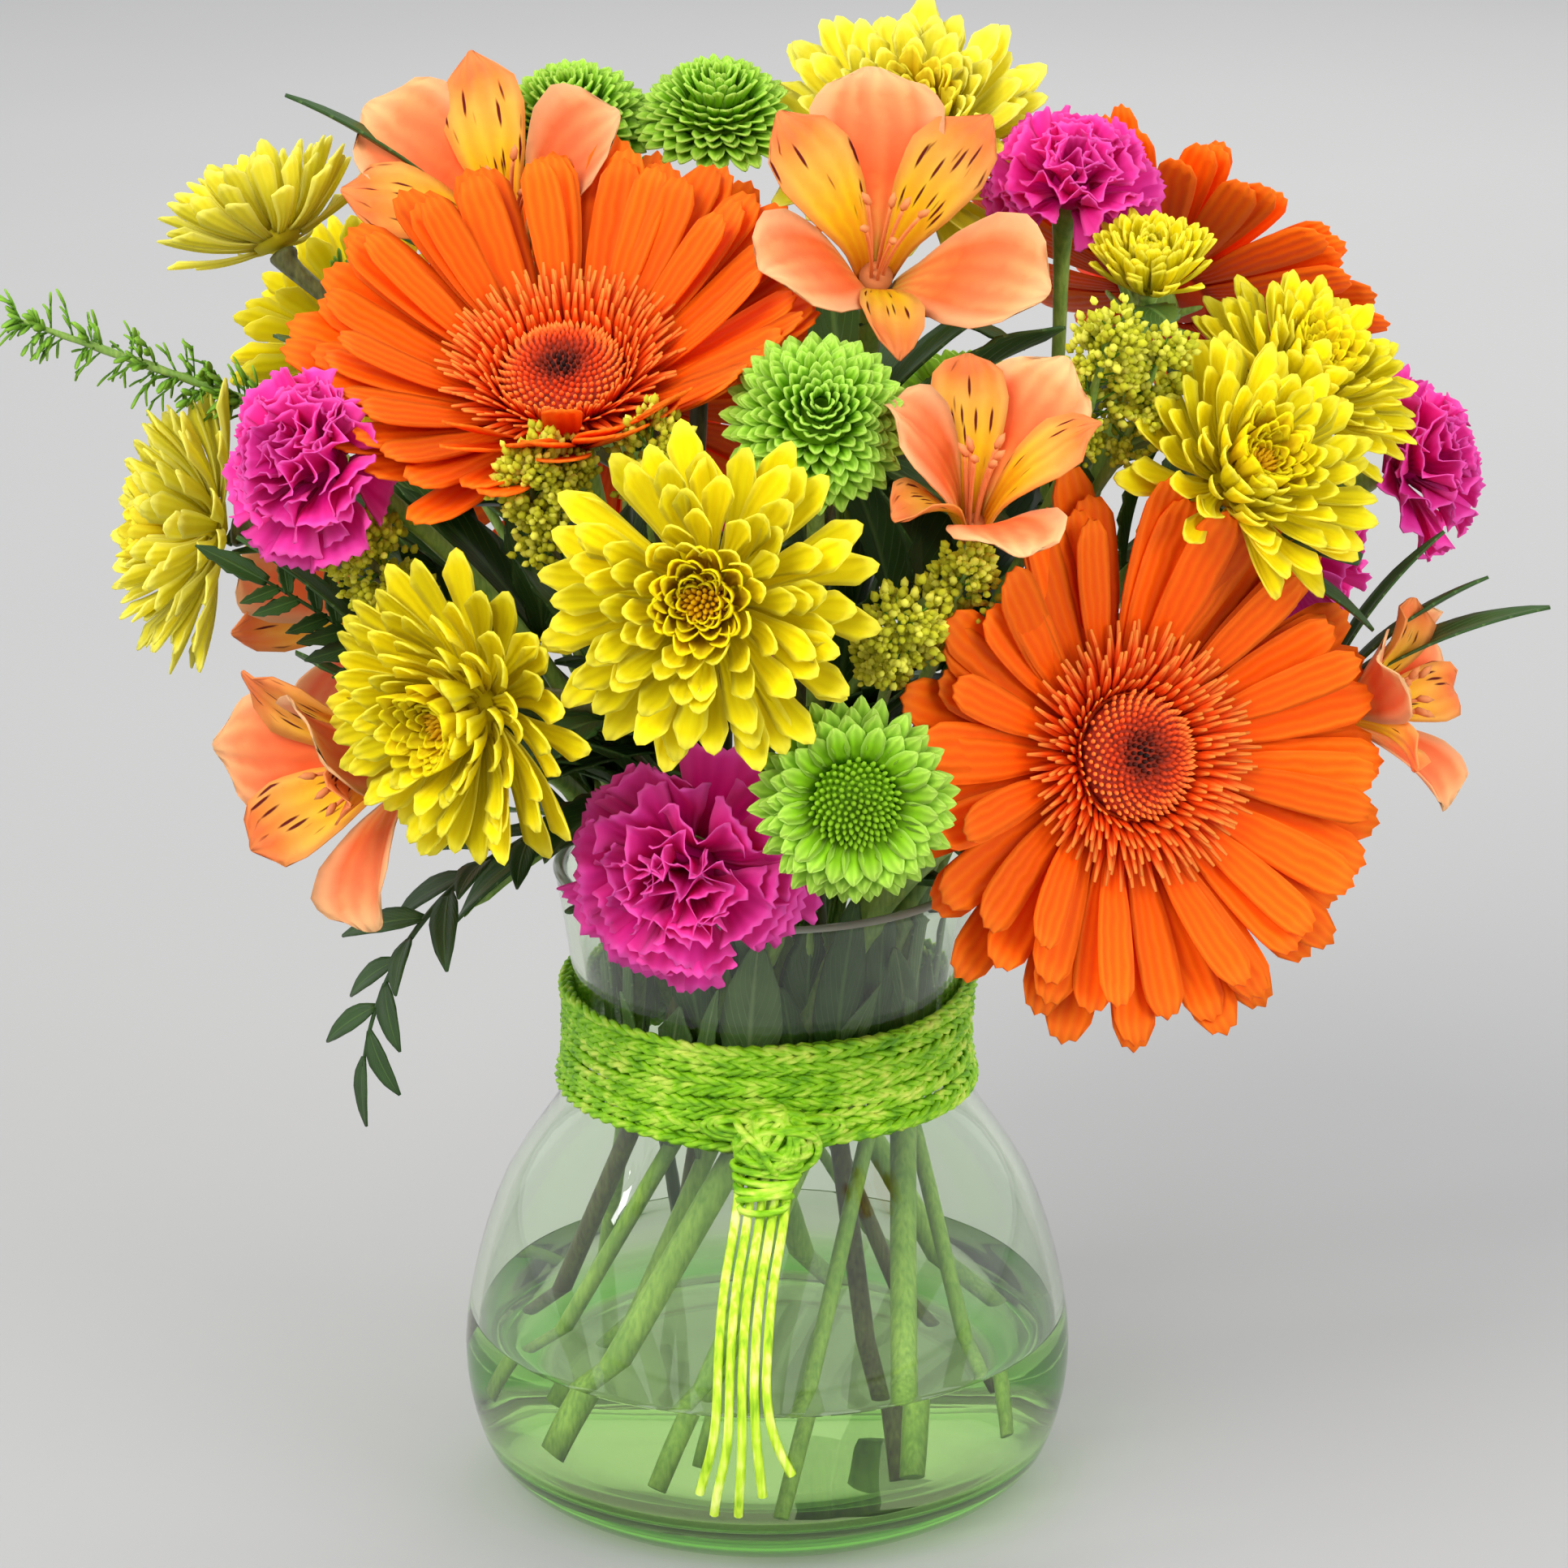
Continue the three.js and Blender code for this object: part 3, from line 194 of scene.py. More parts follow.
def raffia_material(name, along, deep, dyed, pale):
    """Dyed palm fibre: fine ridges along the strand, pale where the dye took less."""
    material, tree, main, add = new_material(name)
    place = add("ShaderNodeTexCoord").outputs["Object"]
    stretched = add("ShaderNodeMapping", {"Vector": place, "Scale": along}).outputs[0]
    fibre, patch = mottle(add, stretched, 900, 3), mottle(add, place, 160)
    dye = reckon(add, "MULTIPLY", reckon(add, "ADD", fibre, patch), 0.5)
    colour = colour_steps(add, dye, [(0.34, deep), (0.5, dyed), (0.66, pale)])
    tree.links.new(colour, main.inputs["Base Color"])
    ridge(tree, main, add, fibre, 0.5, 0.0006)
    main.inputs["Roughness"].default_value = 0.55
    return material


tail_raffia = raffia_material("raffia_tails", (1, 1, 0.12), (130, 178, 16), (188, 222, 48), (236, 244, 140))
for name, places in TAILS.items():
    route = [Vector((x, -math.sqrt(reach ** 2 - x ** 2), z)) * MM for x, (z, reach) in zip(places, FALL)]
    curve = bpy.data.curves.new(name + "_strand", "CURVE")
    curve.dimensions = "3D"
    curve.bevel_depth = TAIL_WIDTH / 2 * MM
    curve.bevel_resolution = 2
    curve.resolution_u = 6
    curve.use_fill_caps = True
    spline = curve.splines.new("BEZIER")
    spline.bezier_points.add(len(route) - 1)
    for knot, point in zip(spline.bezier_points, route):
        knot.co = point
        knot.handle_left_type = knot.handle_right_type = "AUTO"
    strand = bpy.data.objects.new(name + "_strand", curve)
    bpy.context.scene.collection.objects.link(strand)
    curve.materials.append(tail_raffia)
    bpy.context.view_layer.update()
    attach(strand, "root")
    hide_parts(name)


# ---------------------------------------------------------------- vase
# A blown bubble vase of clear, faintly green glass with a thick foot. It is turned from its
# profile, ring by ring, the outside up to the rim and the inside down again.

FOOT, BELLY, NECK, RIM, HEIGHT = 50, 65, 40, 45, 138
WALL, FLOOR = 2.6, 9
# The foot's green reaches this high, the lip is rounded off over this height, and a ring has this
# many corners.
FOOT_GLOW = 17
LIP = 1.1
ROUND = 96
OUTSIDE = [(FOOT, 0), (FOOT + 11, 9), (BELLY, 32), (57.5, 63), (43, 87), (NECK, 102), (42.5, 123),
           (RIM, HEIGHT)]
UNDERSIDE = [(30, 1.6), (40, 1.4), (46, 0.2), (48, 0)]


def eased(points, count):
    """Points along a smooth curve through the points given, evenly by their order."""
    result = []
    for i in range(count + 1):
        place = i * (len(points) - 1) / count
        k = min(int(place), len(points) - 2)
        t = place - k
        p = [np.array(points[min(max(k + d, 0), len(points) - 1)], float) for d in (-1, 0, 1, 2)]
        result.append(0.5 * (2 * p[1] + (p[2] - p[0]) * t + (2 * p[0] - 5 * p[1] + 4 * p[2] - p[3]) * t ** 2
                             + (3 * p[1] - p[0] - 3 * p[2] + p[3]) * t ** 3))
    return result


def unit(way):
    """A way as a vector that is one long."""
    return way / np.linalg.norm(way)


outer = eased(OUTSIDE, 36)
inner = []
for before, here, after in zip([outer[0]] + outer[:-1], outer, outer[1:] + [outer[-1]]):
    run = unit(after - before)
    inner.append(np.array((here[0] - run[1] * WALL, min(here[1] + run[0] * WALL, HEIGHT))))
inner = [p for p in inner if p[1] > FLOOR + 3]


def radius_at(height, side):
    """The radius of the outer or the inner side of the glass at a height."""
    return np.interp(height, [p[1] for p in side], [p[0] for p in side])


def turned(name, profile, sides):
    """A turned piece: a ring of the first radius is extruded to each next one, and its ends are closed."""
    let_go()
    bpy.ops.mesh.primitive_circle_add(vertices=sides, radius=profile[0][0] * MM, fill_type="NOTHING",
                                      location=(0, 0, 0))
    piece = bpy.context.object
    piece.name = name
    bpy.ops.object.mode_set(mode="EDIT")
    bpy.ops.mesh.select_all(action="SELECT")
    bpy.ops.transform.translate(value=(0, 0, profile[0][1] * MM))
    bpy.ops.mesh.edge_face_add()
    bpy.ops.mesh.select_mode(type="EDGE")
    for (r, z), (next_r, next_z) in zip(profile, profile[1:]):
        bpy.ops.mesh.extrude_edges_move(TRANSFORM_OT_translate={"value": (0, 0, (next_z - z) * MM)})
        bpy.ops.transform.resize(value=(next_r / r, next_r / r, 1), center_override=(0, 0, next_z * MM))
    bpy.ops.mesh.edge_face_add()
    bpy.ops.mesh.select_all(action="SELECT")
    bpy.ops.mesh.normals_make_consistent(inside=False)
    bpy.ops.object.mode_set(mode="OBJECT")
    bpy.ops.object.shade_smooth_by_angle(angle=radians(40))
    return piece


def settle(piece, materials, slot, *nodes):
    """The piece takes its materials, rides on the bouquet and stands for its CAD nodes."""
    # Clearing also resets the faces' material numbers, so it is done only on a CAD node's copy.
    if piece.data.materials:
        piece.data.materials.clear()
    for each in materials:
        piece.data.materials.append(each)
    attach(piece, "root")
    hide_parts(*nodes)


def clear_material(name, colour, bend, absorbed, density):
    """A clear body that lets the lamps through, and takes some colour from what passes it."""
    material, tree, main, add = new_material(name)
    main.inputs["Base Color"].default_value = colour
    main.inputs["Roughness"].default_value = 0.0
    main.inputs["Transmission Weight"].default_value = 1.0
    main.inputs["IOR"].default_value = bend
    shaded = add("ShaderNodeLightPath").outputs["Is Shadow Ray"]
    clear = add("ShaderNodeBsdfTransparent", {"Color": (0.965, 0.985, 0.955, 1)})
    mixed = add("ShaderNodeMixShader", {0: shaded, 1: main.outputs[0], 2: clear.outputs[0]})
    volume = add("ShaderNodeVolumeAbsorption", {"Color": absorbed, "Density": density})
    output = tree.nodes["Material Output"]
    tree.links.new(mixed.outputs[0], output.inputs["Surface"])
    tree.links.new(volume.outputs[0], output.inputs["Volume"])
    return material, tree, main, add


glass, tree, main, add = clear_material("green_glass", colour=(0.97, 1, 0.965, 1), bend=1.45,
                                        absorbed=(0.62, 0.9, 0.3, 1), density=24)
depth = add("ShaderNodeAttribute", attribute_name="foot_green").outputs["Fac"]
foot_tint = colour_steps(add, depth, [(0, (249, 255, 246)), (0.4, (196, 240, 160)), (1, (122, 204, 74))])
tree.links.new(foot_tint, main.inputs["Base Color"])
tree.links.new(spread(add, depth, 0.25, 1, 1, 0.45), main.inputs["Transmission Weight"])


def blend(add, share, first, second):
    """Two colours mixed, with a share of the second."""
    return add("ShaderNodeMix", {0: share, 6: first, 7: second}, data_type="RGBA").outputs[2]


# The rounded lip is painted pale and less clear, with random patches: painted light, standing in for the
# light that the glass wall carries up to its rim.
painted_lip_light, tree, main, add = new_material("lip_painted_light")
patch = mottle(add, add("ShaderNodeTexCoord").outputs["Object"], 140)
tree.links.new(blend(add, patch, tint(214, 232, 212), tint(236, 246, 234)), main.inputs["Base Color"])
main.inputs["Roughness"].default_value = 0.18
main.inputs["Transmission Weight"].default_value = 0.45

lip = [(RIM - WALL / 2 * (1 - cos(turn)), HEIGHT - LIP + LIP * sin(turn)) for turn in np.linspace(0, pi, 7)]
profile = UNDERSIDE + [tuple(p) for p in outer[1:-1]] + lip + [tuple(p) for p in reversed(inner[:-1])]
profile += [(inner[0][0] - 4, FLOOR + 0.6), (40, FLOOR), (20, FLOOR)]
vase = turned("glass_vase", profile, ROUND)
settle(vase, [glass, painted_lip_light], "glass", "vase")
# The lip's faces take the painted-light material.
for face in vase.data.polygons:
    face.material_index = int(face.center.z > (HEIGHT - LIP - 0.1) * MM)
# The thick edge of the foot gathers the green of the glass.
green = vase.data.attributes.new("foot_green", "FLOAT", "POINT")
for v, share in zip(vase.data.vertices, green.data):
    reach, level = math.hypot(v.co.x, v.co.y) / MM, v.co.z / MM
    on_skin = reach > radius_at(level, outer) - 0.5 and reach > FOOT - 1
    share.value = max(0, 1 - level / FOOT_GLOW) if on_skin else 0


# ---------------------------------------------------------------- water
# The water fills the lower part of the vase. It wets the glass, so its skin lies just within
# the wall, and it creeps up a little at its edge.

WATER_LEVEL = 37
WETTING = 0.25

water_material = clear_material("water", colour=(0.975, 1, 0.955, 1), bend=1.33,
                                absorbed=(0.66, 0.84, 0.05, 1), density=5.5)[0]
wet = [(r + WETTING, z) for r, z in inner if z < WATER_LEVEL - 1.5]
edge = radius_at(WATER_LEVEL, inner)
profile = [(20, FLOOR - WETTING), (wet[0][0] - 5, FLOOR - WETTING)] + wet
profile += [(edge + WETTING, WATER_LEVEL + 0.9), (edge - 1.2, WATER_LEVEL + 0.15),
            (edge - 4, WATER_LEVEL - 0.1), (20, WATER_LEVEL - 0.1)]
water = turned("still_water", profile, ROUND)
settle(water, [water_material], "water", "water")


# ---------------------------------------------------------------- raffia tie
# The tie is wound round the neck in several loose turns of twisted raffia, and knotted at the
# front with two short loops. Every turn is two thin yarns that wind about each other.

TIE_LOW, TIE_HIGH, TIE_RADIUS = 89.5, 111.5, 42
TURNS_SEEN = 13
YARN = 0.72
PLY_PITCH = 7.0
KNOT_AT, KNOT_SIZE = np.array((1.4, -47.6, 93)), np.array((7.8, 4.6, 6.6))
KNOT_YARNS, KNOT_HEART = 46, 14
BOW_STRANDS = 3
BUNDLE, BUNDLE_LEFT, BUNDLE_STEP = 6, -5.2, 2.1
WRAPS, FIRST_WRAP, WRAP_STEP = 7, 87.6, 1.3


def circle(steps):
    """The angles of one turn in even steps."""
    return np.linspace(0, 2 * pi, steps, endpoint=False)


def tube(points, radii, sides, closed=False, **more):
    """A tube through points, as a part for build. It is a ring, or has closed ends."""
    points = np.asarray(points, float)
    count = len(points)
    if closed:
        runs = np.roll(points, -1, 0) - np.roll(points, 1, 0)
    else:
        runs = np.gradient(points, axis=0)
    runs /= np.linalg.norm(runs, axis=1)[:, None]
    side = np.cross(runs[0], (0.31, 0.2, 0.93))
    rings = []
    for i in range(count):
        side = side - runs[i] * side.dot(runs[i])
        side /= np.linalg.norm(side)
        other = np.cross(runs[i], side)
        turn = np.arange(sides) * 2 * pi / sides
        radius = radii[i] if np.ndim(radii) else radii
        rings.append(points[i] + radius * (np.outer(np.cos(turn), side) + np.outer(np.sin(turn), other)))
    faces = []
    for i in range(count if closed else count - 1):
        a, b = i * sides, ((i + 1) % count) * sides
        faces += [(a + k, a + (k + 1) % sides, b + (k + 1) % sides, b + k) for k in range(sides)]
    if not closed:
        faces += [tuple(range(sides - 1, -1, -1)), tuple((count - 1) * sides + k for k in range(sides))]
    return {"points": np.vstack(rings), "faces": faces, **more}


def build(name, parts):
    """One mesh piece of many parts. A part is a dict of points in mm, faces, and where it has them
    its uv for each face corner, its shade for each point or for all, and its material's number."""
    points = np.vstack([p["points"] for p in parts]) * MM
    faces, numbers, uvs, shades = [], [], [], []
    first = 0
    for p in parts:
        faces += [tuple(first + i for i in face) for face in p["faces"]]
        numbers += [p.get("material", 0)] * len(p["faces"])
        corners = sum(len(face) for face in p["faces"])
        uvs.append(p["uv"] if "uv" in p else np.zeros((corners, 2)))
        shades.append(np.broadcast_to(p.get("shade", 0.5), (len(p["points"]),)))
        first += len(p["points"])
    mesh = bpy.data.meshes.new(name)
    mesh.from_pydata(points.tolist(), [], faces)
    layer = mesh.uv_layers.new(name="petal_uv")
    layer.data.foreach_set("uv", np.vstack(uvs).astype(np.float32).ravel())
    shade = mesh.attributes.new("shade", "FLOAT", "POINT")
    shade.data.foreach_set("value", np.concatenate(shades).astype(np.float32))
    mesh.polygons.foreach_set("material_index", numbers)
    mesh.polygons.foreach_set("use_smooth", [True] * len(faces))
    mesh.update()
    piece = bpy.data.objects.new(name, mesh)
    bpy.context.scene.collection.objects.link(piece)
    return piece


draws = random.Random(7)
yarns = []
for turn in range(TURNS_SEEN * 2):
    layer = turn % 2
    height = TIE_LOW + (TIE_HIGH - TIE_LOW) * ((turn // 2) + 0.5 + 0.25 * layer) / TURNS_SEEN
    phase = [draws.uniform(0, 2 * pi) for _ in range(4)]
    twist = draws.choice((-1, 1))
    around = circle(180)
    z = height + 0.55 * np.sin(2 * around + phase[0]) + 0.35 * np.sin(5 * around + phase[1])
    z = np.clip(z, TIE_LOW, TIE_HIGH)
    r = radius_at(z, outer) + 1.35 + 1.2 * layer + 0.25 * np.sin(3 * around + phase[2])
    plies = round(2 * pi * TIE_RADIUS / PLY_PITCH)
    for ply in (0, pi):
        coil = plies * around * twist + ply + phase[3]
        out, up = r + YARN * 0.8 * np.cos(coil), z + YARN * 0.8 * np.sin(coil)
        yarns.append(tube(np.stack((out * np.cos(around), out * np.sin(around), up), 1), YARN, 5, True))
for yarn in range(KNOT_YARNS):
    # The knot's own yarns wind about it, each in a plane of its own, and fill it.
    face = unit(np.array([draws.gauss(0, 1) for _ in "xyz"]))
    across = unit(np.cross(face, (0.3, 0.9, 0.1)))
    around = circle(28)
    loop = np.outer(np.cos(around), across) + np.outer(np.sin(around), np.cross(face, across))
    size = KNOT_SIZE * (draws.uniform(0.25, 0.6) if yarn < KNOT_HEART else draws.uniform(0.78, 1.02))
    shift = (draws.uniform(-1.6, 1.6), draws.uniform(-0.5, 0.3), draws.uniform(-1.6, 1.2))
    yarns.append(tube(loop * size + KNOT_AT + shift, YARN * 1.15, 5, True))
for side in (-1, 1):
    for strand in range(BOW_STRANDS):
        # A short loop of the bow to each side.
        around = circle(26)
        reach, drop = 6.2 - 0.8 * strand, 2.2 - 0.5 * strand
        x = KNOT_AT[0] + side * (3.2 + reach * (1 - np.cos(around)) * 0.9)
        z = KNOT_AT[2] + 2.4 + drop * np.sin(around) + 0.6 * strand
        y = -np.sqrt(np.maximum((46.6 + 0.6 * strand) ** 2 - x ** 2, 0)) - 0.6
        yarns.append(tube(np.stack((x, y, z), 1), YARN * 1.1, 5, True))
for end in range(BUNDLE):
    # The tails leave the knot in one bundle.
    start = KNOT_AT + (draws.uniform(-2.5, 2.5), -1.5, -3)
    x = BUNDLE_LEFT + BUNDLE_STEP * end
    stop = np.array((x, -math.sqrt(FALL[0][1] ** 2 - x ** 2) - 0.4, FALL[0][0] + 0.3))
    yarns.append(tube(start + (stop - start) * np.linspace(0, 1, 8)[:, None], YARN * 1.15, 5))
for wrap in range(WRAPS):
    # Under the knot they are wound once more, and the bundle tapers to the strands.
    around = circle(26)
    high = FIRST_WRAP - WRAP_STEP * wrap
    reach = np.interp(high, [z for z, r in reversed(FALL)], [r for z, r in reversed(FALL)])
    wide, deep = 7.0 - 0.35 * wrap, 2.3
    x = wide * np.cos(around) - 0.12 * wrap
    y = -reach - 0.1 + deep * np.sin(around)
    z = high + draws.uniform(-0.5, 0.5) + 0.9 * np.sin(around + draws.uniform(0, 6))
    yarns.append(tube(np.stack((x, y, z), 1), YARN * 1.1, 5, True))
tie = build("raffia_tie", yarns)
turn_raffia = raffia_material("raffia_turns", (0.35, 0.35, 1), (86, 148, 8), (142, 202, 24), (212, 232, 96))
settle(tie, [turn_raffia], "raffia", "tie")


# ---------------------------------------------------------------- stems
# The cut stems stand in the water and lean the same way round in the neck. They are fresh green or
# woody, ridged along, and swell into the cups of their heads. Their leaf blades are pressed thin
# here, because the leaves section lays fine ones over them.

# A stem's foot is cut off below this height, and its corners there stay sharp.
CUT_FEET = 45


def stem_material(name, skin, dark):
    """A stem: fine ridges along it, paler and darker patches."""
    material, tree, main, add = new_material(name)
    place = add("ShaderNodeTexCoord").outputs["Object"]
    streaky = add("ShaderNodeMapping", {"Vector": place, "Scale": (1, 1, 0.3)}).outputs[0]
    ridges, patches = mottle(add, streaky, 1100, 3), mottle(add, place, 55, 4)
    colour = colour_steps(add, reckon(add, "MULTIPLY", ridges, patches), [(0.12, dark), (0.42, skin)])
    tree.links.new(colour, main.inputs["Base Color"])
    ridge(tree, main, add, ridges, 0.25, 0.0004)
    main.inputs["Roughness"].default_value = 0.45
    main.inputs["Subsurface Weight"].default_value = 0.08
    main.inputs["Subsurface Radius"].default_value = (0.002, 0.003, 0.001)
    return material


def fair_copy(node, name, swell):
    """A smooth piece over a CAD node: its mesh is copied, merged, rounded off and filled out again."""
    let_go()
    piece = NODES[node].copy()
    piece.data = NODES[node].data.copy()
    piece.name = name
    piece.parent = None
    bpy.context.scene.collection.objects.link(piece)
    for key in list(piece.keys()):
        del piece[key]
    piece.select_set(True)
    bpy.context.view_layer.objects.active = piece
    bpy.ops.object.mode_set(mode="EDIT")
    bpy.ops.mesh.select_all(action="SELECT")
    bpy.ops.mesh.remove_doubles(threshold=0.00002)
    bpy.ops.mesh.tris_convert_to_quads(face_threshold=radians(50), shape_threshold=radians(60))
    # The cut foot keeps its rim.
    bpy.ops.mesh.select_mode(type="EDGE")
    bpy.ops.mesh.select_all(action="DESELECT")
    bpy.ops.mesh.edges_select_sharp(sharpness=radians(50))
    edit = bmesh.from_edit_mesh(piece.data)
    for edge in edit.edges:
        if max(v.co.z for v in edge.verts) > CUT_FEET * MM:
            edge.select = False
    bmesh.update_edit_mesh(piece.data)
    bpy.ops.transform.edge_crease(value=1)
    bpy.ops.object.mode_set(mode="OBJECT")
    smooth = piece.modifiers.new("rounding", "SUBSURF")
    smooth.levels = smooth.render_levels = 2
    bpy.ops.object.modifier_apply(modifier=smooth.name)
    bpy.ops.object.mode_set(mode="EDIT")
    bpy.ops.mesh.select_all(action="SELECT")
    bpy.ops.transform.shrink_fatten(value=swell * MM)
    bpy.ops.object.mode_set(mode="OBJECT")
    bpy.ops.object.shade_smooth()
    return piece


def middle(at, azimuth, length, pitch, curl, share):
    """Points along a leaf's midrib, and there the way along it and the way out of its face."""
    share = np.asarray(share, float)
    slope = pitch + curl * share
    out = length * (np.sin(slope) - sin(pitch)) / curl
    up = length * (cos(pitch) - np.cos(slope)) / curl
    level = np.array((cos(azimuth), sin(azimuth), 0))
    points = np.outer(out, level) + np.outer(up, (0, 0, 1)) + at
    along = np.outer(np.cos(slope), level) + np.outer(np.sin(slope), (0, 0, 1))
    face = np.outer(-np.sin(slope), level) + np.outer(np.cos(slope), (0, 0, 1))
    return points, along, face


def read_corners(piece):
    """The corners of a piece's mesh, in millimetres."""
    flat = np.empty(len(piece.data.vertices) * 3)
    piece.data.vertices.foreach_get("co", flat)
    return flat.reshape(-1, 3) / MM


def move_corners(piece, spots):
    """The corners of a piece's mesh move to these spots."""
    piece.data.vertices.foreach_set("co", (spots * MM).ravel())
    piece.data.update()


# A leaf is folded along its midrib, by this much for each millimetre to the side. One that is
# steeper than STEEP sheathes its stem in the neck and stays thick.
LEAF_FOLD = 0.35
STEEP = 70
SHEATH_THICK, BLADE_THICK = 1.8, 0.7
BLADE_REACH = 1.7


def thin_leaf(piece, at, azimuth, length, pitch, curl, width):
    """The blade of a leaf in a stem's copy is pressed thin, to lie inside the fine leaf over it."""
    spots = read_corners(piece)
    share = np.linspace(0, 1, 60)
    points, along, face = middle(at, azimuth, length, pitch, curl, share)
    sideways = np.array((-sin(azimuth), cos(azimuth), 0))
    for i, spot in enumerate(spots):
        off = spot - points
        across = off[0].dot(sideways)
        flat_off = off - across * sideways
        k = int(np.argmin((flat_off ** 2).sum(1)))
        proud, fold = flat_off[k].dot(face[k]), LEAF_FOLD * abs(across)
        if 0.08 < share[k] and abs(across) < width * 0.6 and abs(proud - fold) < BLADE_REACH:
            spots[i] = spot + face[k] * (fold - proud) * 0.8
    move_corners(piece, spots)


# Where each leaf leaves its stem, its azimuth about the vertical, its length, pitch, curl and width,
# and whether it is toothed.
LEAVES = [
    ("mum_stem_right", (73.2, -19.4, 205.5), -22, 49.9, 30, -42, 17, True),
    ("mum_stem_right", (50.2, -11.6, 173.5), 20, 44, 16, -50, 15, True),
    ("mum_stem_left", (-12.5, -41.0, 170.2), 205, 46, 40, -50, 15, True),
    ("mum_stem_back", (14.7, 35.2, 200.7), 95, 50, 40, -40, 15, True),
    ("mum_stem_back", (-67.6, 9.5, 231.5), 150, 42, 30, -30, 13, True),
    ("alstroemeria_stem_right", (19.2, 1.0, 230.7), 20, 46, 50, -30, 9, False),
    ("alstroemeria_stem_right", (18.0, 0.7, 215.4), 250, 40, 40, -40, 9, False),
    ("alstroemeria_stem_left", (-46.2, 27.1, 237.4), 160, 48, 60, -50, 9, False),
    ("alstroemeria_stem_left", (-34.1, 2.3, 143.1), 215, 40, 10, -60, 9, False),
    ("carnation_stem_back", (14.9, 31.1, 140.8), 70, 40, 20, -50, 7, False),
    ("gerbera_stem_front", (7.3, -27.8, 108.6), 300, 26, 82, -0.01, 10, False),
    ("mum_stem_left", (-15.0, -25.8, 120.5), 250, 26, 80, -0.01, 12, False),
    ("button_stem_front", (-1.6, -29.8, 119.8), 280, 28, 80, -0.01, 10, False),
    ("carnation_stem_left", (-25.2, -15.9, 120.6), 190, 26, 80, -0.01, 9, False),
]
WOODY = ("mum_stem_left", "mum_stem_back", "button_stem_back")
fresh = stem_material("fresh_stem", (158, 188, 88), (104, 140, 56))
woody = stem_material("woody_stem", (108, 112, 58), (58, 54, 32))
for node in [n for n in NODES if "_stem_" in n]:
    piece = fair_copy(node, node + "_round", 0.32)
    for stem, at, azimuth, length, pitch, curl, width, toothed in LEAVES:
        if stem == node and pitch < STEEP:
            thin_leaf(piece, at, radians(azimuth), length, radians(pitch), radians(curl), width)
    settle(piece, [woody if node in WOODY else fresh], "stem", node)


# ---------------------------------------------------------------- fern
# A spray of dark fern: its wiry stalk forks to an upright frond of toothed lobes, and to one with
# pointed leaflets that hangs over the glass. Each is a rib with its leaflets in pairs.

TIP_STARTS = 0.8
TOOTH = 0.32


def blank(name, columns, rows, widths, tip=0.0, teeth=0, bite=0.0, bites=3):
    """A petal blank, one long. widths are (share of its length, width). Its end is rounded by tip and
    notched by bite, and its sides have teeth."""
    let_go()
    bpy.ops.mesh.primitive_grid_add(x_subdivisions=columns, y_subdivisions=rows, size=1,
                                    location=(0, 0, 0))
    flat = bpy.context.object
    flat.name = name
    bpy.ops.object.mode_set(mode="EDIT")
    bpy.ops.mesh.select_mode(type="VERT")
    bpy.ops.mesh.select_all(action="SELECT")
    bpy.ops.transform.translate(value=(0, 0.5, 0))
    levels = sorted({round(v.co.y, 4) for v in bmesh.from_edit_mesh(flat.data).verts})
    shares, sizes = zip(*widths)
    for level in levels:
        bpy.ops.mesh.select_all(action="DESELECT")
        edit = bmesh.from_edit_mesh(flat.data)
        for v in edit.verts:
            v.select = abs(v.co.y - level) < 0.001
        bmesh.update_edit_mesh(flat.data)
        wide = float(np.interp(level, shares, sizes))
        bpy.ops.transform.resize(value=(wide, 1, 1), center_override=(0, level, 0))
    edit = bmesh.from_edit_mesh(flat.data)
    for v in edit.verts:
        across = v.co.x / max(float(np.interp(v.co.y, shares, sizes)), 0.01) * 2
        end = max(0.0, (v.co.y - TIP_STARTS) / (1 - TIP_STARTS))
        v.co.y -= end * tip * across ** 2
        if bite and v.co.y > 0.9:
            v.co.y -= bite * (0.5 - 0.5 * cos(pi * across * bites))
        if teeth and abs(across) > 0.95:
            v.co.x *= 1 - TOOTH * ((v.co.y * teeth) % 1.0)
    bmesh.update_edit_mesh(flat.data)
    bpy.ops.object.mode_set(mode="OBJECT")
    body = flat.modifiers.new("thickness", "SOLIDIFY")
    body.thickness, body.offset = 1.0, 0.0
    bpy.ops.object.modifier_apply(modifier=body.name)
    mesh = flat.data
    at = np.array([v.co[:] for v in mesh.vertices])
    uv = np.array([corner.uv[:] for corner in mesh.uv_layers.active.data])
    faces = [tuple(p.vertices) for p in mesh.polygons]
    wide = columns + 1
    lines = [[row * wide + column for row in range(rows // 3, rows + 1)]
             for column in sorted({0, columns // 4, columns // 2, columns - columns // 4, columns})]
    bpy.data.objects.remove(flat)
    return {"at": at, "uv": uv, "faces": faces, "lines": lines}


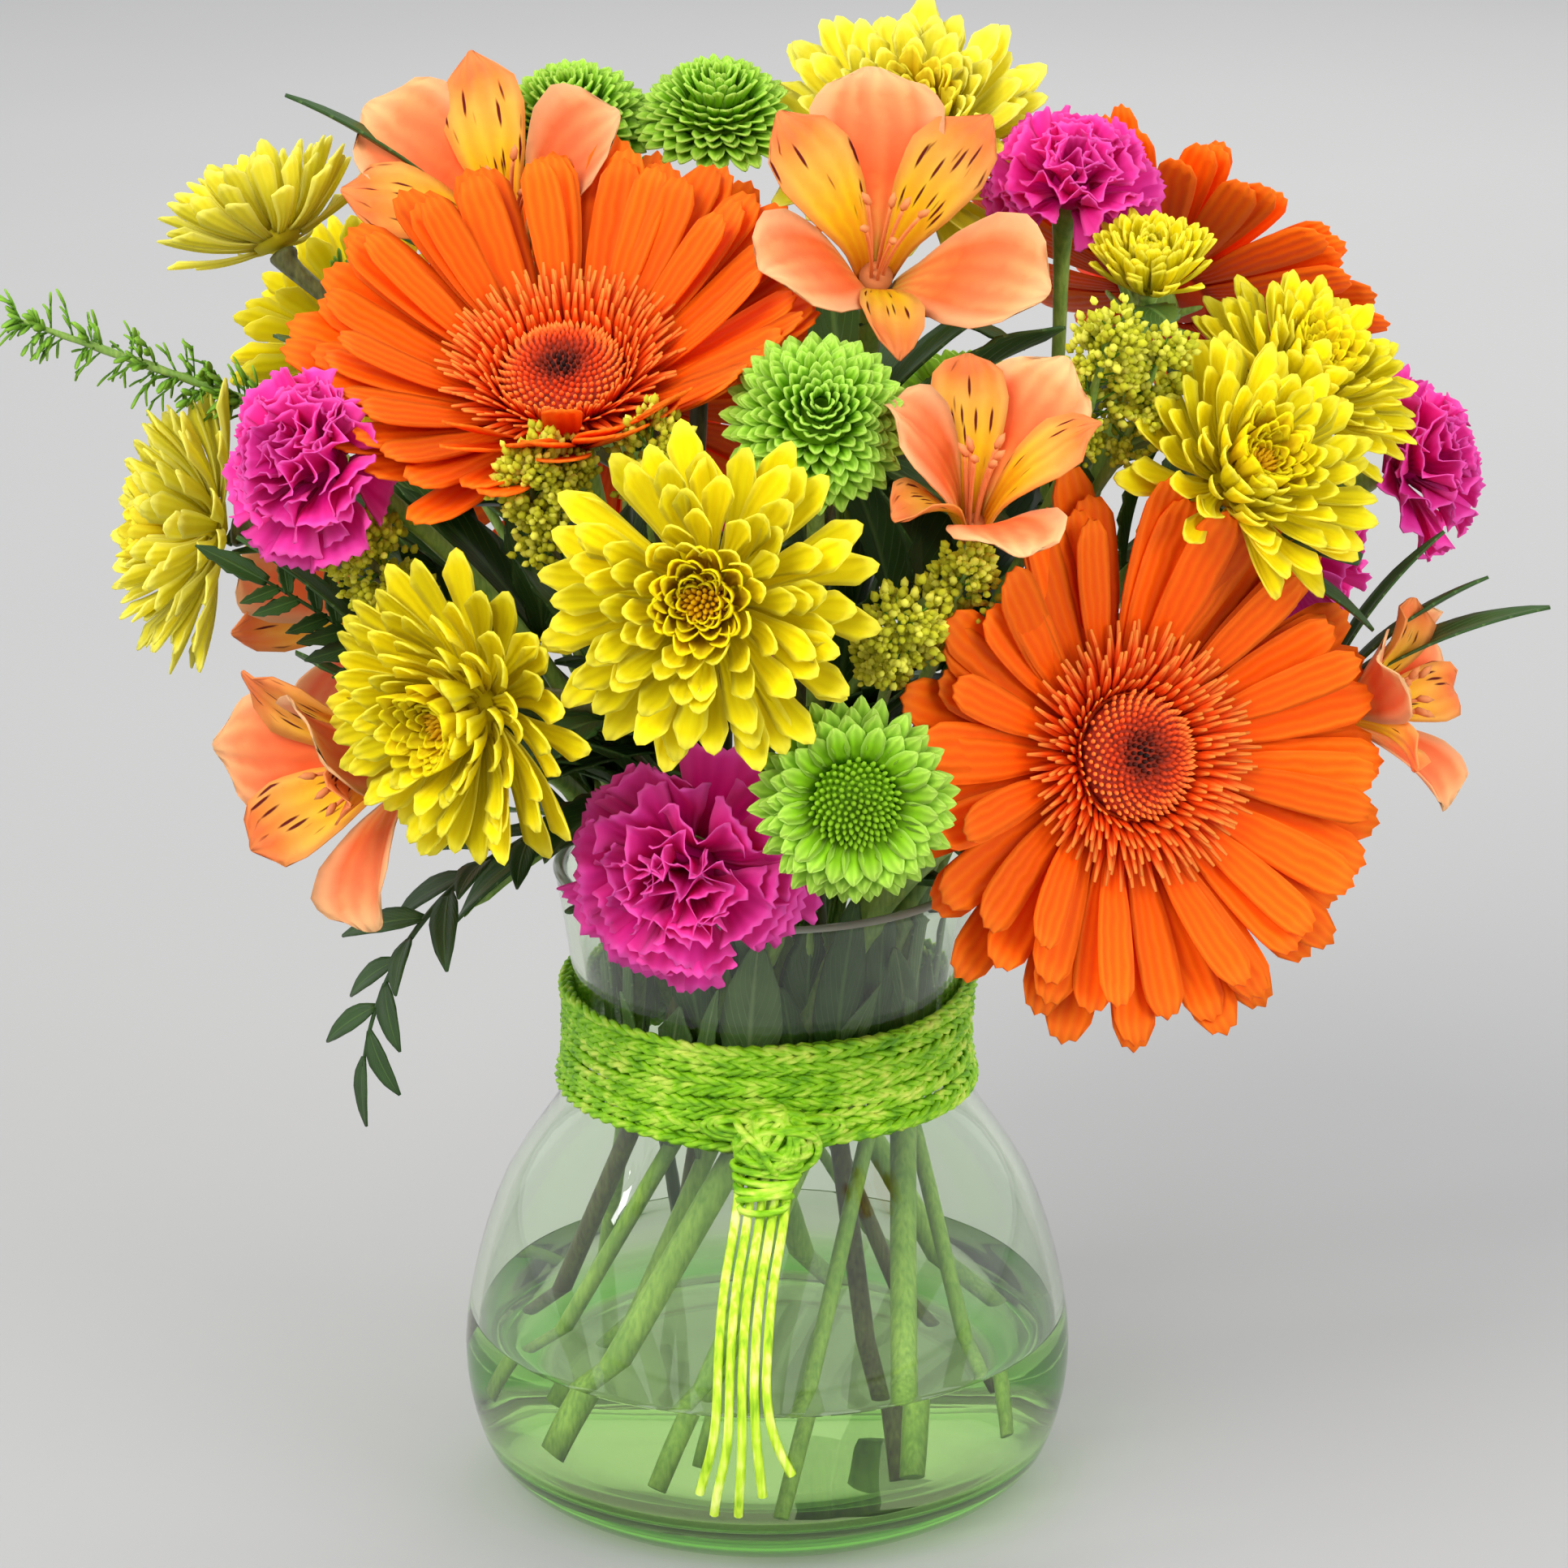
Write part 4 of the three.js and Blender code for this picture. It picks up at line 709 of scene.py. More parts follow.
def lay(shape, frame_of, azimuth, root, base, length, pitch, curl, width, thick, cup=0.0, fold=0.0,
        twist=0.0, bow=0.0, ripple=None, **more):
    """A blank as one petal of a bloom, or as a leaf. It rises from its root at its pitch, its middle
    line curves by curl, and its blade is cupped, folded, twisted, bowed to the side and rippled."""
    x, s, z = shape["at"].T
    bend = curl if abs(curl) > 1e-4 else 1e-4
    slope = pitch + bend * s
    out = root + length * (np.sin(slope) - sin(pitch)) / bend
    up = base + length * (cos(pitch) - np.cos(slope)) / bend
    across = x * width
    proud = cup * width * (2 * x) ** 2 * np.minimum(1, 3 * s) + fold * width * np.abs(x) + z * thick
    if ripple:
        waves, depth, start = ripple
        proud = proud + depth * s ** 2 * np.sin(waves * pi * x + start)
        proud = proud + 0.4 * depth * s ** 3 * np.sin(2.3 * waves * pi * x + 2 * start)
    across, proud = (across * np.cos(twist * s) - proud * np.sin(twist * s),
                     across * np.sin(twist * s) + proud * np.cos(twist * s))
    across = across + bow * length * s ** 2
    r, h = out - np.sin(slope) * proud, up + np.cos(slope) * proud
    level_x = r * cos(azimuth) - across * sin(azimuth)
    level_y = r * sin(azimuth) + across * cos(azimuth)
    points = np.stack((level_x, level_y, h), 1)
    axes, at = frame_of
    return {"points": points @ axes.T + at, "faces": shape["faces"], "uv": shape["uv"], **more}


def petal_place(add):
    """Where a point lies across and along its petal, from 0 to 1, and the petal's own shade."""
    uv = add("ShaderNodeSeparateXYZ", {0: add("ShaderNodeUVMap", uv_map="petal_uv").outputs[0]}).outputs
    return uv[0], uv[1], add("ShaderNodeAttribute", attribute_name="shade").outputs["Fac"]


def thin_skin(tree, main, add, colour, through, **more):
    """A petal's or leaf's skin, which lets a share of the light come through it."""
    tree.links.new(colour, main.inputs["Base Color"])
    glow = add("ShaderNodeBsdfTranslucent", {"Color": colour, **more})
    mixed = add("ShaderNodeMixShader", {0: through, 1: main.outputs[0], 2: glow.outputs[0]})
    tree.links.new(mixed.outputs[0], tree.nodes["Material Output"].inputs["Surface"])


SIDE_VEINS = 9


def leaf_material(name, top, dark, vein, rough):
    """A leaf: pinnate veins and a pale midrib in a mottled green."""
    material, tree, main, add = new_material(name)
    across, along, own = petal_place(add)
    patches = mottle(add, add("ShaderNodeTexCoord").outputs["Object"], 120, 5)
    green = blend(add, patches, tint(*dark), tint(*top))
    off_rib = reckon(add, "ABSOLUTE", reckon(add, "SUBTRACT", across, 0.5))
    rising = reckon(add, "MULTIPLY_ADD", along, SIDE_VEINS, reckon(add, "MULTIPLY", off_rib, -SIDE_VEINS))
    side_veins = spread(add, reckon(add, "FRACT", rising), 0, 0.14, 1, 0)
    lines = reckon(add, "MAXIMUM", side_veins, spread(add, off_rib, 0.015, 0.06, 1, 0))
    colour = blend(add, reckon(add, "MULTIPLY", lines, 0.55), green, tint(*vein))
    toned = add("ShaderNodeHueSaturation", {"Value": spread(add, own, 0, 1, 0.75, 1.2), "Color": colour})
    ridge(tree, main, add, lines, 0.5, 0.0003).invert = True
    main.inputs["Roughness"].default_value = rough
    thin_skin(tree, main, add, toned.outputs[0], 0.15)
    return material


STALK = [(-20, 39, 40), (-23, 25, 67), (-27, 11, 92), (-29, 1, 113), (-31, -6, 130), (-33, -12, 139),
         (-36, -19, 148), (-40, -27, 156), (-45, -34, 164), (-52, -40, 172)]
draws = random.Random(33)
leaflet = blank("leaflet_blank", 4, 9, [(0, 0.22), (0.2, 0.8), (0.42, 1), (0.75, 0.66), (1, 0.08)])
lobe = blank("lobe_blank", 6, 14, [(0, 0.4), (0.2, 0.86), (0.4, 1), (0.72, 0.7), (0.9, 0.38), (1, 0.06)],
             teeth=4)
# Where each frond leaves the stalk, its azimuth, its length, pitch, curl and roll, its leaflet, the
# leaflet's length and slimness, how many pairs there are and how much they taper.
FRONDS = [((-50.2, -38.5, 169.8), 189, 67, 48, -16, 65, lobe, 20, 0.4, 11, 0.5),
          ((-38.0, -24.0, 152.8), 214, 74, 6, -88, 0, leaflet, 19, 0.34, 6, 0)]
RIB_STEPS = 30


def axes_of(way, up):
    """The axes of a leaf that points along way and faces up."""
    return np.stack((way, np.cross(up, way), up), 1)


parts = [tube(STALK, 1.5, 8, shade=0.4)]
for at, azimuth, length, pitch, curl, roll, shape, reach, slim, pairs, taper in FRONDS:
    share = np.linspace(0, 1, RIB_STEPS)
    points, along, face = middle(at, radians(azimuth), length, radians(pitch), radians(curl), share)
    face = face * cos(radians(roll)) + np.cross(face, along) * sin(radians(roll))
    parts.append(tube(points, 0.95 - 0.6 * share, 6, shade=0.35))
    for pair in range(pairs):
        for side in (-1, 1):
            place = 0.1 + 0.86 * (pair + 0.25 * side + 0.3) / pairs
            k = int(round(place * (RIB_STEPS - 1)))
            size = reach * (0.55 + 0.45 * sin(pi * (0.15 + 0.75 * place))) * draws.uniform(0.85, 1.1)
            size *= 1 - taper * place
            out = np.cross(face[k], along[k]) * side
            way = unit(out * draws.uniform(0.6, 0.9) + along[k] * 0.7 + face[k] * draws.uniform(-0.2, 0.3))
            up = unit(face[k] - way * face[k].dot(way))
            parts.append(lay(shape, (axes_of(way, up), points[k]), 0, 0, 0, size, 0.15, -0.5, size * slim,
                             0.5, fold=0.25, twist=draws.uniform(-0.3, 0.3), shade=draws.random()))
    parts.append(lay(shape, (axes_of(along[-1], face[-1]), points[-1]), 0, -2, 0, reach * 0.8, 0, -0.3,
                     reach * 0.26, 0.5, fold=0.25, shade=0.5))
fern = build("fern_fronds", parts)
fern_green = leaf_material("fern_green", (58, 92, 38), (24, 46, 18), (84, 116, 52), 0.42)
settle(fern, [fern_green], "leaf", "fern")


# ---------------------------------------------------------------- gerberas
# Two rows of long strap rays, orange, with their veins drawn in grooves and their tips notched.
# Inside them stands a fringe of short florets, and the disc of buds, nearly black at its middle.

# A bloom's petals were bent or cut short in the frame to clear their neighbours. The fuller
# bloom follows them: it looks for each petal's tip among the corners of the CAD head. A petal that
# was cut is shortened less here, by a power of its cut.
BENDS = (0, 7, -7, 14, -14, 22, -22, 32, -32)
CUTS = (1, 0.86, 0.72, 0.58, 0.42)
SPARED = 0.7
TIP_STEPS, TIP_SLACK = 12, 0.03


def draw(index, seed):
    """The frame's own repeatable draw, from 0 to 1."""
    value = sin(index * 12.9898 + seed * 78.233) * 43758.5453
    return value - math.floor(value)


def facing(look):
    """The direction of an azimuth from the front and an elevation, in degrees."""
    azimuth, height = radians(look[0]), radians(look[1])
    return np.array((sin(azimuth) * cos(height), -cos(azimuth) * cos(height), sin(height)))


def tree_of(spots):
    """Spots, to be found by their place."""
    tree = KDTree(len(spots))
    for i, spot in enumerate(spots):
        tree.insert(spot, i)
    tree.balance()
    return tree


class Kind:
    """A kind of bloom: its hub's rows as (radius, height), its columns of petals, and its tiers of
    petals as (length, pitch, curl, folded, thick, tip width), all for size 1. In a crowded kind each
    column has a petal in each tier, and rays cut below the shortest are left out."""

    def __init__(self, hub, columns, tiers, crowded=False, shortest=0):
        self.hub, self.columns, self.tiers = hub, columns, tiers
        self.crowded, self.shortest = crowded, shortest


class Bloom:
    """A bloom of a kind, where its face is, the azimuth and elevation that it looks along, and how
    its petals lie in the frame."""

    def __init__(self, name, seed, kind, at, look, roll=0, size=1, cupped=0, columns=None):
        self.name, self.seed, self.kind, self.size, self.cupped = name, seed, kind, size, cupped
        self.columns = columns or kind.columns
        axis, turn = facing(look), radians(roll)
        level = np.array((cos(radians(look[0])), sin(radians(look[0])), 0))
        other = np.cross(axis, level)
        self.axes = np.stack((level * cos(turn) + other * sin(turn), other * cos(turn) - level * sin(turn),
                              axis), 1)
        self.at = np.array(at, float)
        self.place = (self.axes, self.at)
        self.corners = tree_of([v.co / MM for v in NODES[name].data.vertices])
        self.rows = [self.read_row(row) for row in range(len(kind.tiers))]

    def tier(self, row):
        """The root, base, length, pitch and curl of a row between the tiers, before any bend."""
        tiers, hub = self.kind.tiers, self.kind.hub
        low = min(int(row), len(tiers) - 1)
        high, share = min(low + 1, len(tiers) - 1), row - low
        share = min(share, 1) if high > low else 0
        ends = []
        for t in (low, high):
            root, base = (0.5 * (hub[t + 1][k] + hub[t + 2][k]) * self.size for k in (0, 1))
            length, pitch, curl = tiers[t][:3]
            rise, bend = radians(pitch + self.cupped), radians(curl)
            ends.append(np.array((root, base, length * self.size, rise, bend)))
        return ends[0] * (1 - share) + ends[1] * share

    def tip_is_there(self, azimuth, out, up, length, pitch, curl, corner):
        """Whether the CAD head has a corner where the tip of such a petal has one."""
        for k in range(TIP_STEPS):
            slope = pitch + curl * (k + 0.5) / TIP_STEPS
            out += cos(slope) * length / TIP_STEPS
            up += sin(slope) * length / TIP_STEPS
        across, proud = corner
        r, h = out - sin(pitch + curl) * proud, up + cos(pitch + curl) * proud
        point = (r * cos(azimuth) - across * sin(azimuth), r * sin(azimuth) + across * cos(azimuth), h)
        return self.corners.find(self.axes @ point + self.at)[2] < TIP_SLACK

    def read_row(self, row):
        """Each petal of a tier that the frame has: its azimuth, its cut and its bend."""
        length, pitch, curl, folded, thick, tip = self.kind.tiers[row]
        root, base = self.tier(row)[:2]
        found = []
        for column in range(self.columns):
            if not self.kind.crowded and (row + column) % 2:
                continue
            index = column + self.columns * row
            azimuth = 2 * pi * (column + 0.5) / self.columns
            slim = 0.62 if self.kind.crowded and column % 2 else 1
            half = tip * slim * self.size / 2
            corner = (-half, half * 0.35) if folded else (-half, thick / 2)
            full = length * self.size * (1 + 0.1 * (draw(index, self.seed + 1) - 0.5))
            lift = radians(pitch + self.cupped + 5 * (draw(index, self.seed + 2) - 0.5))
            lies = ((azimuth, cut, radians(bend)) for cut in CUTS for bend in BENDS
                    if self.tip_is_there(azimuth, root, base, full * cut, lift + radians(bend),
                                         radians(curl), corner))
            found.append(next(lies, (azimuth, 0.4, 0)))
        return np.array(found)

    def bent(self, row, azimuth):
        """The cut and bend of a petal anywhere on the bloom, from those of the frame beside it."""
        total, weight = np.zeros(2), 0
        for t in {min(int(row), len(self.rows) - 1), min(int(row) + 1, len(self.rows) - 1)}:
            known = self.rows[t]
            off = (known[:, 0] - azimuth + pi) % (2 * pi) - pi
            near = np.exp(-(off / (2.2 * pi / self.columns)) ** 2) * max(0.02, 1 - abs(row - t)) + 1e-9
            total += near @ known[:, 1:]
            weight += near.sum()
        return total / weight


# Heads that are finished, which later petals keep clear of by leaning up or down.
GROWN = []
DODGES = (0, 8, -8, 16, -16, 24, -24, 34, -34)
NEIGHBOURHOOD = 100


def finish_head(bloom, parts, word, materials, slot):
    """The parts of a bloom become one piece, and later petals keep clear of it."""
    head = build(bloom.name + word, parts)
    settle(head, materials, slot, bloom.name)
    corners = [v.co / MM for v in head.data.vertices]
    GROWN.append((bloom.at, BVHTree.FromPolygons(corners, [list(p.vertices) for p in head.data.polygons])))


def meets(part, shape, trees):
    """How often the lines along a petal run through a head."""
    count = 0
    for line in shape["lines"] if trees else []:
        spots = [Vector(spot) for spot in part["points"][line]]
        for start, stop in zip(spots, spots[1:]):
            way = stop - start
            count += any(tree.ray_cast(start, way.normalized(), way.length)[0] for tree in trees)
    return count


def lay_clear(bloom, shape, azimuth, root, base, length, pitch, *bends, dodges=DODGES, **more):
    """A petal that leans as little out of its place as clears it of its neighbours."""
    near = [tree for at, tree in GROWN if 1 < np.linalg.norm(at - bloom.at) < NEIGHBOURHOOD]
    fewest, best = math.inf, None
    for dodge in dodges:
        part = lay(shape, bloom.place, azimuth, root, base, length, pitch + radians(dodge), *bends, **more)
        count = meets(part, shape, near)
        if count < fewest:
            fewest, best = count, part
        if count == 0:
            break
    return best


def ring(bloom, shape, row, count, start, width, thick, draws, longer=1.0, raised=0.0, inward=1.0, up=0.0,
         cup=0.0, ripple=None, wild=1.0, **more):
    """A ring of petals on a bloom. Its row lies on or between the tiers of the frame's bloom, and wild
    is how unlike each other its petals lie."""
    parts = []
    root, base, length, pitch, curl = bloom.tier(row)
    for i in range(count):
        azimuth = 2 * pi * (i + start + draws.uniform(-0.16, 0.16) * wild) / count
        cut, bend = bloom.bent(row, azimuth)
        if cut < bloom.kind.shortest:
            continue
        wave = (ripple[0] * draws.uniform(0.8, 1.25), ripple[1], draws.uniform(0, 6)) if ripple else None
        parts.append(lay_clear(bloom, shape, azimuth, root * inward * 0.97, base + up * bloom.size,
                               length * cut ** SPARED * longer * (1 + draws.uniform(-0.06, 0.04) * wild),
                               pitch + bend + radians(raised + draws.uniform(-3, 3) * wild),
                               curl + radians(draws.uniform(-4, 4) * wild), width * bloom.size, thick,
                               cup=cup, twist=draws.uniform(-0.18, 0.18) * wild,
                               bow=draws.uniform(-0.05, 0.05) * wild, ripple=wave, shade=draws.random(),
                               **more))
    return parts


def hub_of(bloom, shrink, sides=20, hub=None, **more):
    """The core that the petals stand on, a little inside the frame's, or one of other rows."""
    rows = np.array(hub or bloom.kind.hub) * shrink
    turn = np.arange(sides) * 2 * pi / sides
    points = [np.stack((r * np.cos(turn), r * np.sin(turn), np.full(sides, z)), 1) for r, z in rows[1:-1]]
    points += [np.array([[0, 0, rows[0][1]]]), np.array([[0, 0, rows[-1][1]]])]
    top = (len(rows) - 3) * sides
    foot, crown = top + sides, top + sides + 1
    faces = [((k + 1) % sides, k, foot) for k in range(sides)]
    for a in range(0, top, sides):
        b = a + sides
        faces += [(a + k, a + (k + 1) % sides, b + (k + 1) % sides, b + k) for k in range(sides)]
    faces += [(top + k, top + (k + 1) % sides, crown) for k in range(sides)]
    corners = sum(len(face) for face in faces)
    return {"points": np.vstack(points) * bloom.size @ bloom.axes.T + bloom.at, "faces": faces,
            "uv": np.full((corners, 2), (0.5, 0.08)), "shade": 0.2, **more}


def bud_shape():
    """A closed floret bud: a small round solid, drawn to a point."""
    let_go()
    bpy.ops.mesh.primitive_ico_sphere_add(subdivisions=1, radius=1, location=(0, 0, 0))
    bud = bpy.context.object
    bpy.ops.object.mode_set(mode="EDIT")
    edit = bmesh.from_edit_mesh(bud.data)
    for v in edit.verts:
        v.select = v.co.z > 0.9
    bmesh.update_edit_mesh(bud.data)
    bpy.ops.transform.translate(value=(0, 0, 0.3))
    bpy.ops.object.mode_set(mode="OBJECT")
    points = np.array([v.co[:] for v in bud.data.vertices])
    faces = [tuple(p.vertices) for p in bud.data.polygons]
    bpy.data.objects.remove(bud)
    return points, faces


BUD, BUD_FACES = bud_shape()


def bud_at(place, at, toward, wide, tall, **more):
    """A bud in a bloom's frame that points towards a direction there."""
    axis = unit(np.asarray(toward, float))
    side = unit(np.cross(axis, (0.3, 0.1, 0.95) if abs(axis[2]) < 0.9 else (1, 0, 0)))
    basis = np.stack((side, np.cross(axis, side), axis), 1)
    points = (BUD * (wide, wide, tall)) @ basis.T + at
    axes, origin = place
    return {"points": points @ axes.T + origin, "faces": BUD_FACES, **more}


def dome(bloom, reach, heights, count, wide, tall, draws, **more):
    """Buds packed on a dome in the order that they grow in, by the golden angle. heights are
    (share of the reach, height) of the dome."""
    parts = []
    for i in range(count):
        share = math.sqrt((i + 0.5) / count)
        angle = i * pi * (3 - math.sqrt(5))
        r, z = reach * share * bloom.size, float(np.interp(share, *zip(*heights))) * bloom.size
        lean = (share * 0.6 * cos(angle), share * 0.6 * sin(angle), 1)
        size = bloom.size * draws.uniform(0.85, 1.15)
        parts.append(bud_at(bloom.place, (r * cos(angle), r * sin(angle), z), lean, wide * size, tall * size,
                            shade=share, **more))
    return parts


def petal_material(name, steps, vein, vein_count, vein_depth, rim=None, through=0.3, rough=0.5, flecks=None):
    """A petal: its colours from root to tip, fine veins along it, another tint at its rim, and
    light that comes through it. Flecks are short dark streaks along the veins."""
    material, tree, main, add = new_material(name)
    across, along, own = petal_place(add)
    wander = mottle(add, add("ShaderNodeTexCoord").outputs["Object"], 190, 3)
    place = reckon(add, "SUBTRACT", reckon(add, "MULTIPLY_ADD", wander, 0.16, along), 0.08)
    lines = reckon(add, "MULTIPLY", across, 2 * pi * vein_count)
    wave = reckon(add, "SINE", reckon(add, "MULTIPLY_ADD", wander, 5, lines))
    vein_share = reckon(add, "MULTIPLY", spread(add, wave, -1, 1), vein_depth)
    colour = blend(add, vein_share, colour_steps(add, place, steps), tint(*vein))
    if rim:
        rim_colour, rim_strength = rim
        off_middle = reckon(add, "ABSOLUTE", reckon(add, "SUBTRACT", across, 0.5))
        edge = reckon(add, "MAXIMUM", spread(add, off_middle, 0.3, 0.5), spread(add, along, 0.86, 1))
        colour = blend(add, reckon(add, "MULTIPLY", edge, rim_strength), colour, tint(*rim_colour))
    if flecks:
        fleck_colour, (first, last) = flecks
        spots = add("ShaderNodeCombineXYZ", {0: reckon(add, "MULTIPLY", across, 11),
                                             1: reckon(add, "MULTIPLY", along, 3.4),
                                             2: reckon(add, "MULTIPLY", own, 40)}).outputs[0]
        cell = add("ShaderNodeTexVoronoi", {"Vector": spots, "Scale": 1, "Randomness": 0.8})
        streak = spread(add, cell.outputs["Distance"], 0.17, 0.27, 1, 0)
        begun = reckon(add, "MULTIPLY", streak, spread(add, along, first, first + 0.1))
        share = reckon(add, "MULTIPLY", begun, spread(add, along, last - 0.1, last, 1, 0))
        colour = blend(add, share, colour, tint(*fleck_colour))
    toned = add("ShaderNodeHueSaturation", {"Value": spread(add, own, 0, 1, 0.86, 1.1), "Color": colour})
    grooves = ridge(tree, main, add, wave, 0.35, 0.0003)
    main.inputs["Roughness"].default_value = rough
    main.inputs["Specular IOR Level"].default_value = 0.22
    thin_skin(tree, main, add, toned.outputs[0], through, Normal=grooves.outputs[0])
    return material


gerbera = Kind([(0, -7), (13.5, -6.4), (15.6, -3.8), (15.2, -1.2), (13.4, 0), (0, 0)], 24,
               [(45, 3, 10, False, 0.9, 4.6), (40, 14, 12, False, 0.9, 4.4),
                (10, 44, 0, False, 0.9, 2.2)], shortest=0.7)
GERBERAS = [
    Bloom("gerbera_front", 2, gerbera, (73, -58, 179), (30, 17)),
    Bloom("gerbera_top", 4, gerbera, (-40, -40, 252), (-10, 58), roll=5, size=0.97, cupped=16),
    Bloom("gerbera_right", 23, gerbera, (86, 60, 250), (143, 40), size=0.85, columns=20),
    Bloom("gerbera_back", 24, gerbera, (-32, 78, 220), (192, 18), size=0.95, columns=20),
]
# Rows of the fringe, from the outside in: how many florets, how long, how raised, how far out.
FRINGE = [(60, 1.35, -28, 1.0), (62, 1.2, -16, 1.0), (60, 1.0, -6, 0.98), (56, 0.8, 6, 0.96),
          (50, 0.56, 18, 0.93)]
EYE_BUDS, EYE_WIDTH = 300, 12.8
EYE_DOME = [(0, 3.4), (0.3, 3.5), (0.45, 4.6), (0.75, 4.2), (1, 1.9)]
EYE_CORE = [(0, 0.4), (12.9, 0.7), (12.6, 1.9), (9.6, 4.1), (5.8, 4.5), (3.8, 3.4), (0, 3.3)]
ray = blank("ray_blank", 6, 12, [(0, 0.36), (0.15, 0.5), (0.45, 0.88), (0.7, 1), (0.9, 0.97), (1, 0.78)],
            tip=0.06, bite=0.022)
fringe = blank("fringe_blank", 2, 4, [(0, 0.6), (0.5, 1), (1, 0.4)])
ray_orange = petal_material("gerbera_ray", [(0, (240, 60, 4)), (0.35, (255, 104, 4)), (1, (255, 124, 16))],
                            (240, 66, 2), 4, 0.4, rim=((255, 140, 40), 0.3), through=0.32, rough=0.55)
fringe_orange = petal_material("gerbera_fringe", [(0, (214, 40, 8)), (0.6, (252, 84, 12)),
                                                  (1, (255, 164, 70))],
                               (240, 60, 10), 1, 0.3, through=0.25, rough=0.6)
eye_material, tree, main, add = new_material("gerbera_disc")
own = add("ShaderNodeAttribute", attribute_name="shade").outputs["Fac"]
speckle = mottle(add, add("ShaderNodeTexCoord").outputs["Object"], 700)
colour = colour_steps(add, reckon(add, "MULTIPLY_ADD", speckle, 0.3, own),
                      [(0.22, (24, 10, 8)), (0.42, (92, 24, 12)), (0.56, (176, 48, 16)),
                       (0.78, (232, 76, 20)), (1, (255, 130, 50))])
tree.links.new(colour, main.inputs["Base Color"])
main.inputs["Roughness"].default_value = 0.7

for bloom in GERBERAS:
    draws = random.Random(bloom.seed)
    full = bloom.columns
    # Rows of rays: the row's tier, how many, where they start, width, cup, length and lift.
    rays = [(0, full, 0.5, 10.6, 0.05, 1.0, 0), (0.35, full - 4, 0.25, 10, 0.06, 0.98, 0),
            (0.7, full - 5, 0.1, 9.4, 0.06, 0.96, 0), (1, full // 2, 0.3, 8.2, 0.08, 0.94, 3)]
    parts = [hub_of(bloom, 0.93)]
    for row, count, start, width, cup, longer, raised in rays:
        parts += ring(bloom, ray, row, count, start, width, 0.5, draws, longer=longer, raised=raised,
                      cup=cup)
    for count, longer, raised, inward in FRINGE:
        parts += ring(bloom, fringe, 2, count, draws.random(), 1.35, 0.35, draws, longer=longer,
                      raised=raised, inward=inward, up=0.5, wild=1.6, material=1)
    finish_head(bloom, parts, "_rays", [ray_orange, fringe_orange], "orange_petal")
    parts = dome(bloom, EYE_WIDTH, EYE_DOME, EYE_BUDS, 0.52, 1.15, draws)
    parts.append(hub_of(bloom, 0.97, 28, EYE_CORE, shade=0.35))
    settle(build(bloom.name + "_disc", parts), [eye_material], "eye", bloom.name + "_eye")


# ---------------------------------------------------------------- yellow chrysanthemums
# Spray chrysanthemums: layer on layer of spooned petals, wide open outside and folded in over a
# heart of ochre buds. Their rims are pale.

mum = Kind([(0, -6), (7, -4.6), (8.2, -1.4), (6.8, 2.6), (4, 5.4), (0, 6.6)], 16,
           [(27, -2, 24, True, 1.3, 5), (23, 27, 28, True, 1.3, 4.6), (15, 56, 30, True, 1.3, 5.6)])
MUMS = [
    Bloom("mum_centre", 0, mum, (-11, -98, 223), (-6, 14)),
    Bloom("mum_left", 3, mum, (-57, -85, 197), (-38, -4), roll=12, size=0.95, columns=14),
    Bloom("mum_right", 8, mum, (94, -42, 232), (32, 34), size=0.88, columns=14),
    Bloom("mum_right_upper", 13, mum, (108, -12, 243), (45, 52), size=0.8, columns=12),
    Bloom("mum_small", 14, mum, (77, -15, 266), (5, 70), size=0.5, cupped=30, columns=12),
    Bloom("mum_far_left", 18, mum, (-115, -10, 213), (-80, 8), size=0.9, columns=12),
    Bloom("mum_top_left", 19, mum, (-102, 20, 268), (-135, 55), size=0.75, cupped=10, columns=12),
    Bloom("mum_top", 20, mum, (29, 25, 286), (5, 50), columns=14),
    Bloom("mum_back_left", 25, mum, (-88, 66, 235), (-140, 22), size=0.9, columns=12),
]
spoon = blank("spoon_blank", 4, 10, [(0, 0.34), (0.35, 0.48), (0.62, 0.8), (0.84, 1), (1, 0.8)], tip=0.14)
# Rows of petals, from the outside in: tier, how many, width, length and lift.
MUM_RINGS = [(0, 15, 7.2, 1.0, 0), (0.25, 14, 7.0, 1.0, 3), (0.55, 14, 6.8, 1.0, 2), (0.85, 14, 6.5, 1.0, 0),
             (1.15, 13, 6.2, 1.0, 0), (1.5, 13, 5.8, 1.0, 0), (1.8, 12, 5.4, 1.0, 0)]
# Rows of the heart: how many, width, length, lift, how far out and how much higher.
MUM_HEART = [(12, 5.2, 1.0, 2, 0.98, 0.4), (11, 4.6, 0.84, 5, 0.86, 0.8), (10, 4.0, 0.66, 8, 0.74, 1),
             (9, 3.2, 0.5, 12, 0.62, 1.2)]


def mum_materials(name, outer_tint, inner_tint, pale):
    """The petals, the heart and the buds of yellow heads."""
    return [
        petal_material(name + "_petal", [(0, inner_tint), (0.4, outer_tint), (1, outer_tint)], inner_tint,
                       3, 0.3, rim=(pale, 0.4), through=0.38, rough=0.55),
        petal_material(name + "_heart", [(0, (240, 206, 10)), (0.6, (250, 226, 30)), (1, outer_tint)],
                       (230, 190, 20), 2, 0.25, through=0.34, rough=0.6),
        petal_material(name + "_bud", [(0, (240, 190, 20)), (1, (250, 216, 50))],
                       (230, 176, 20), 1, 0.3, through=0.25, rough=0.7),
    ]


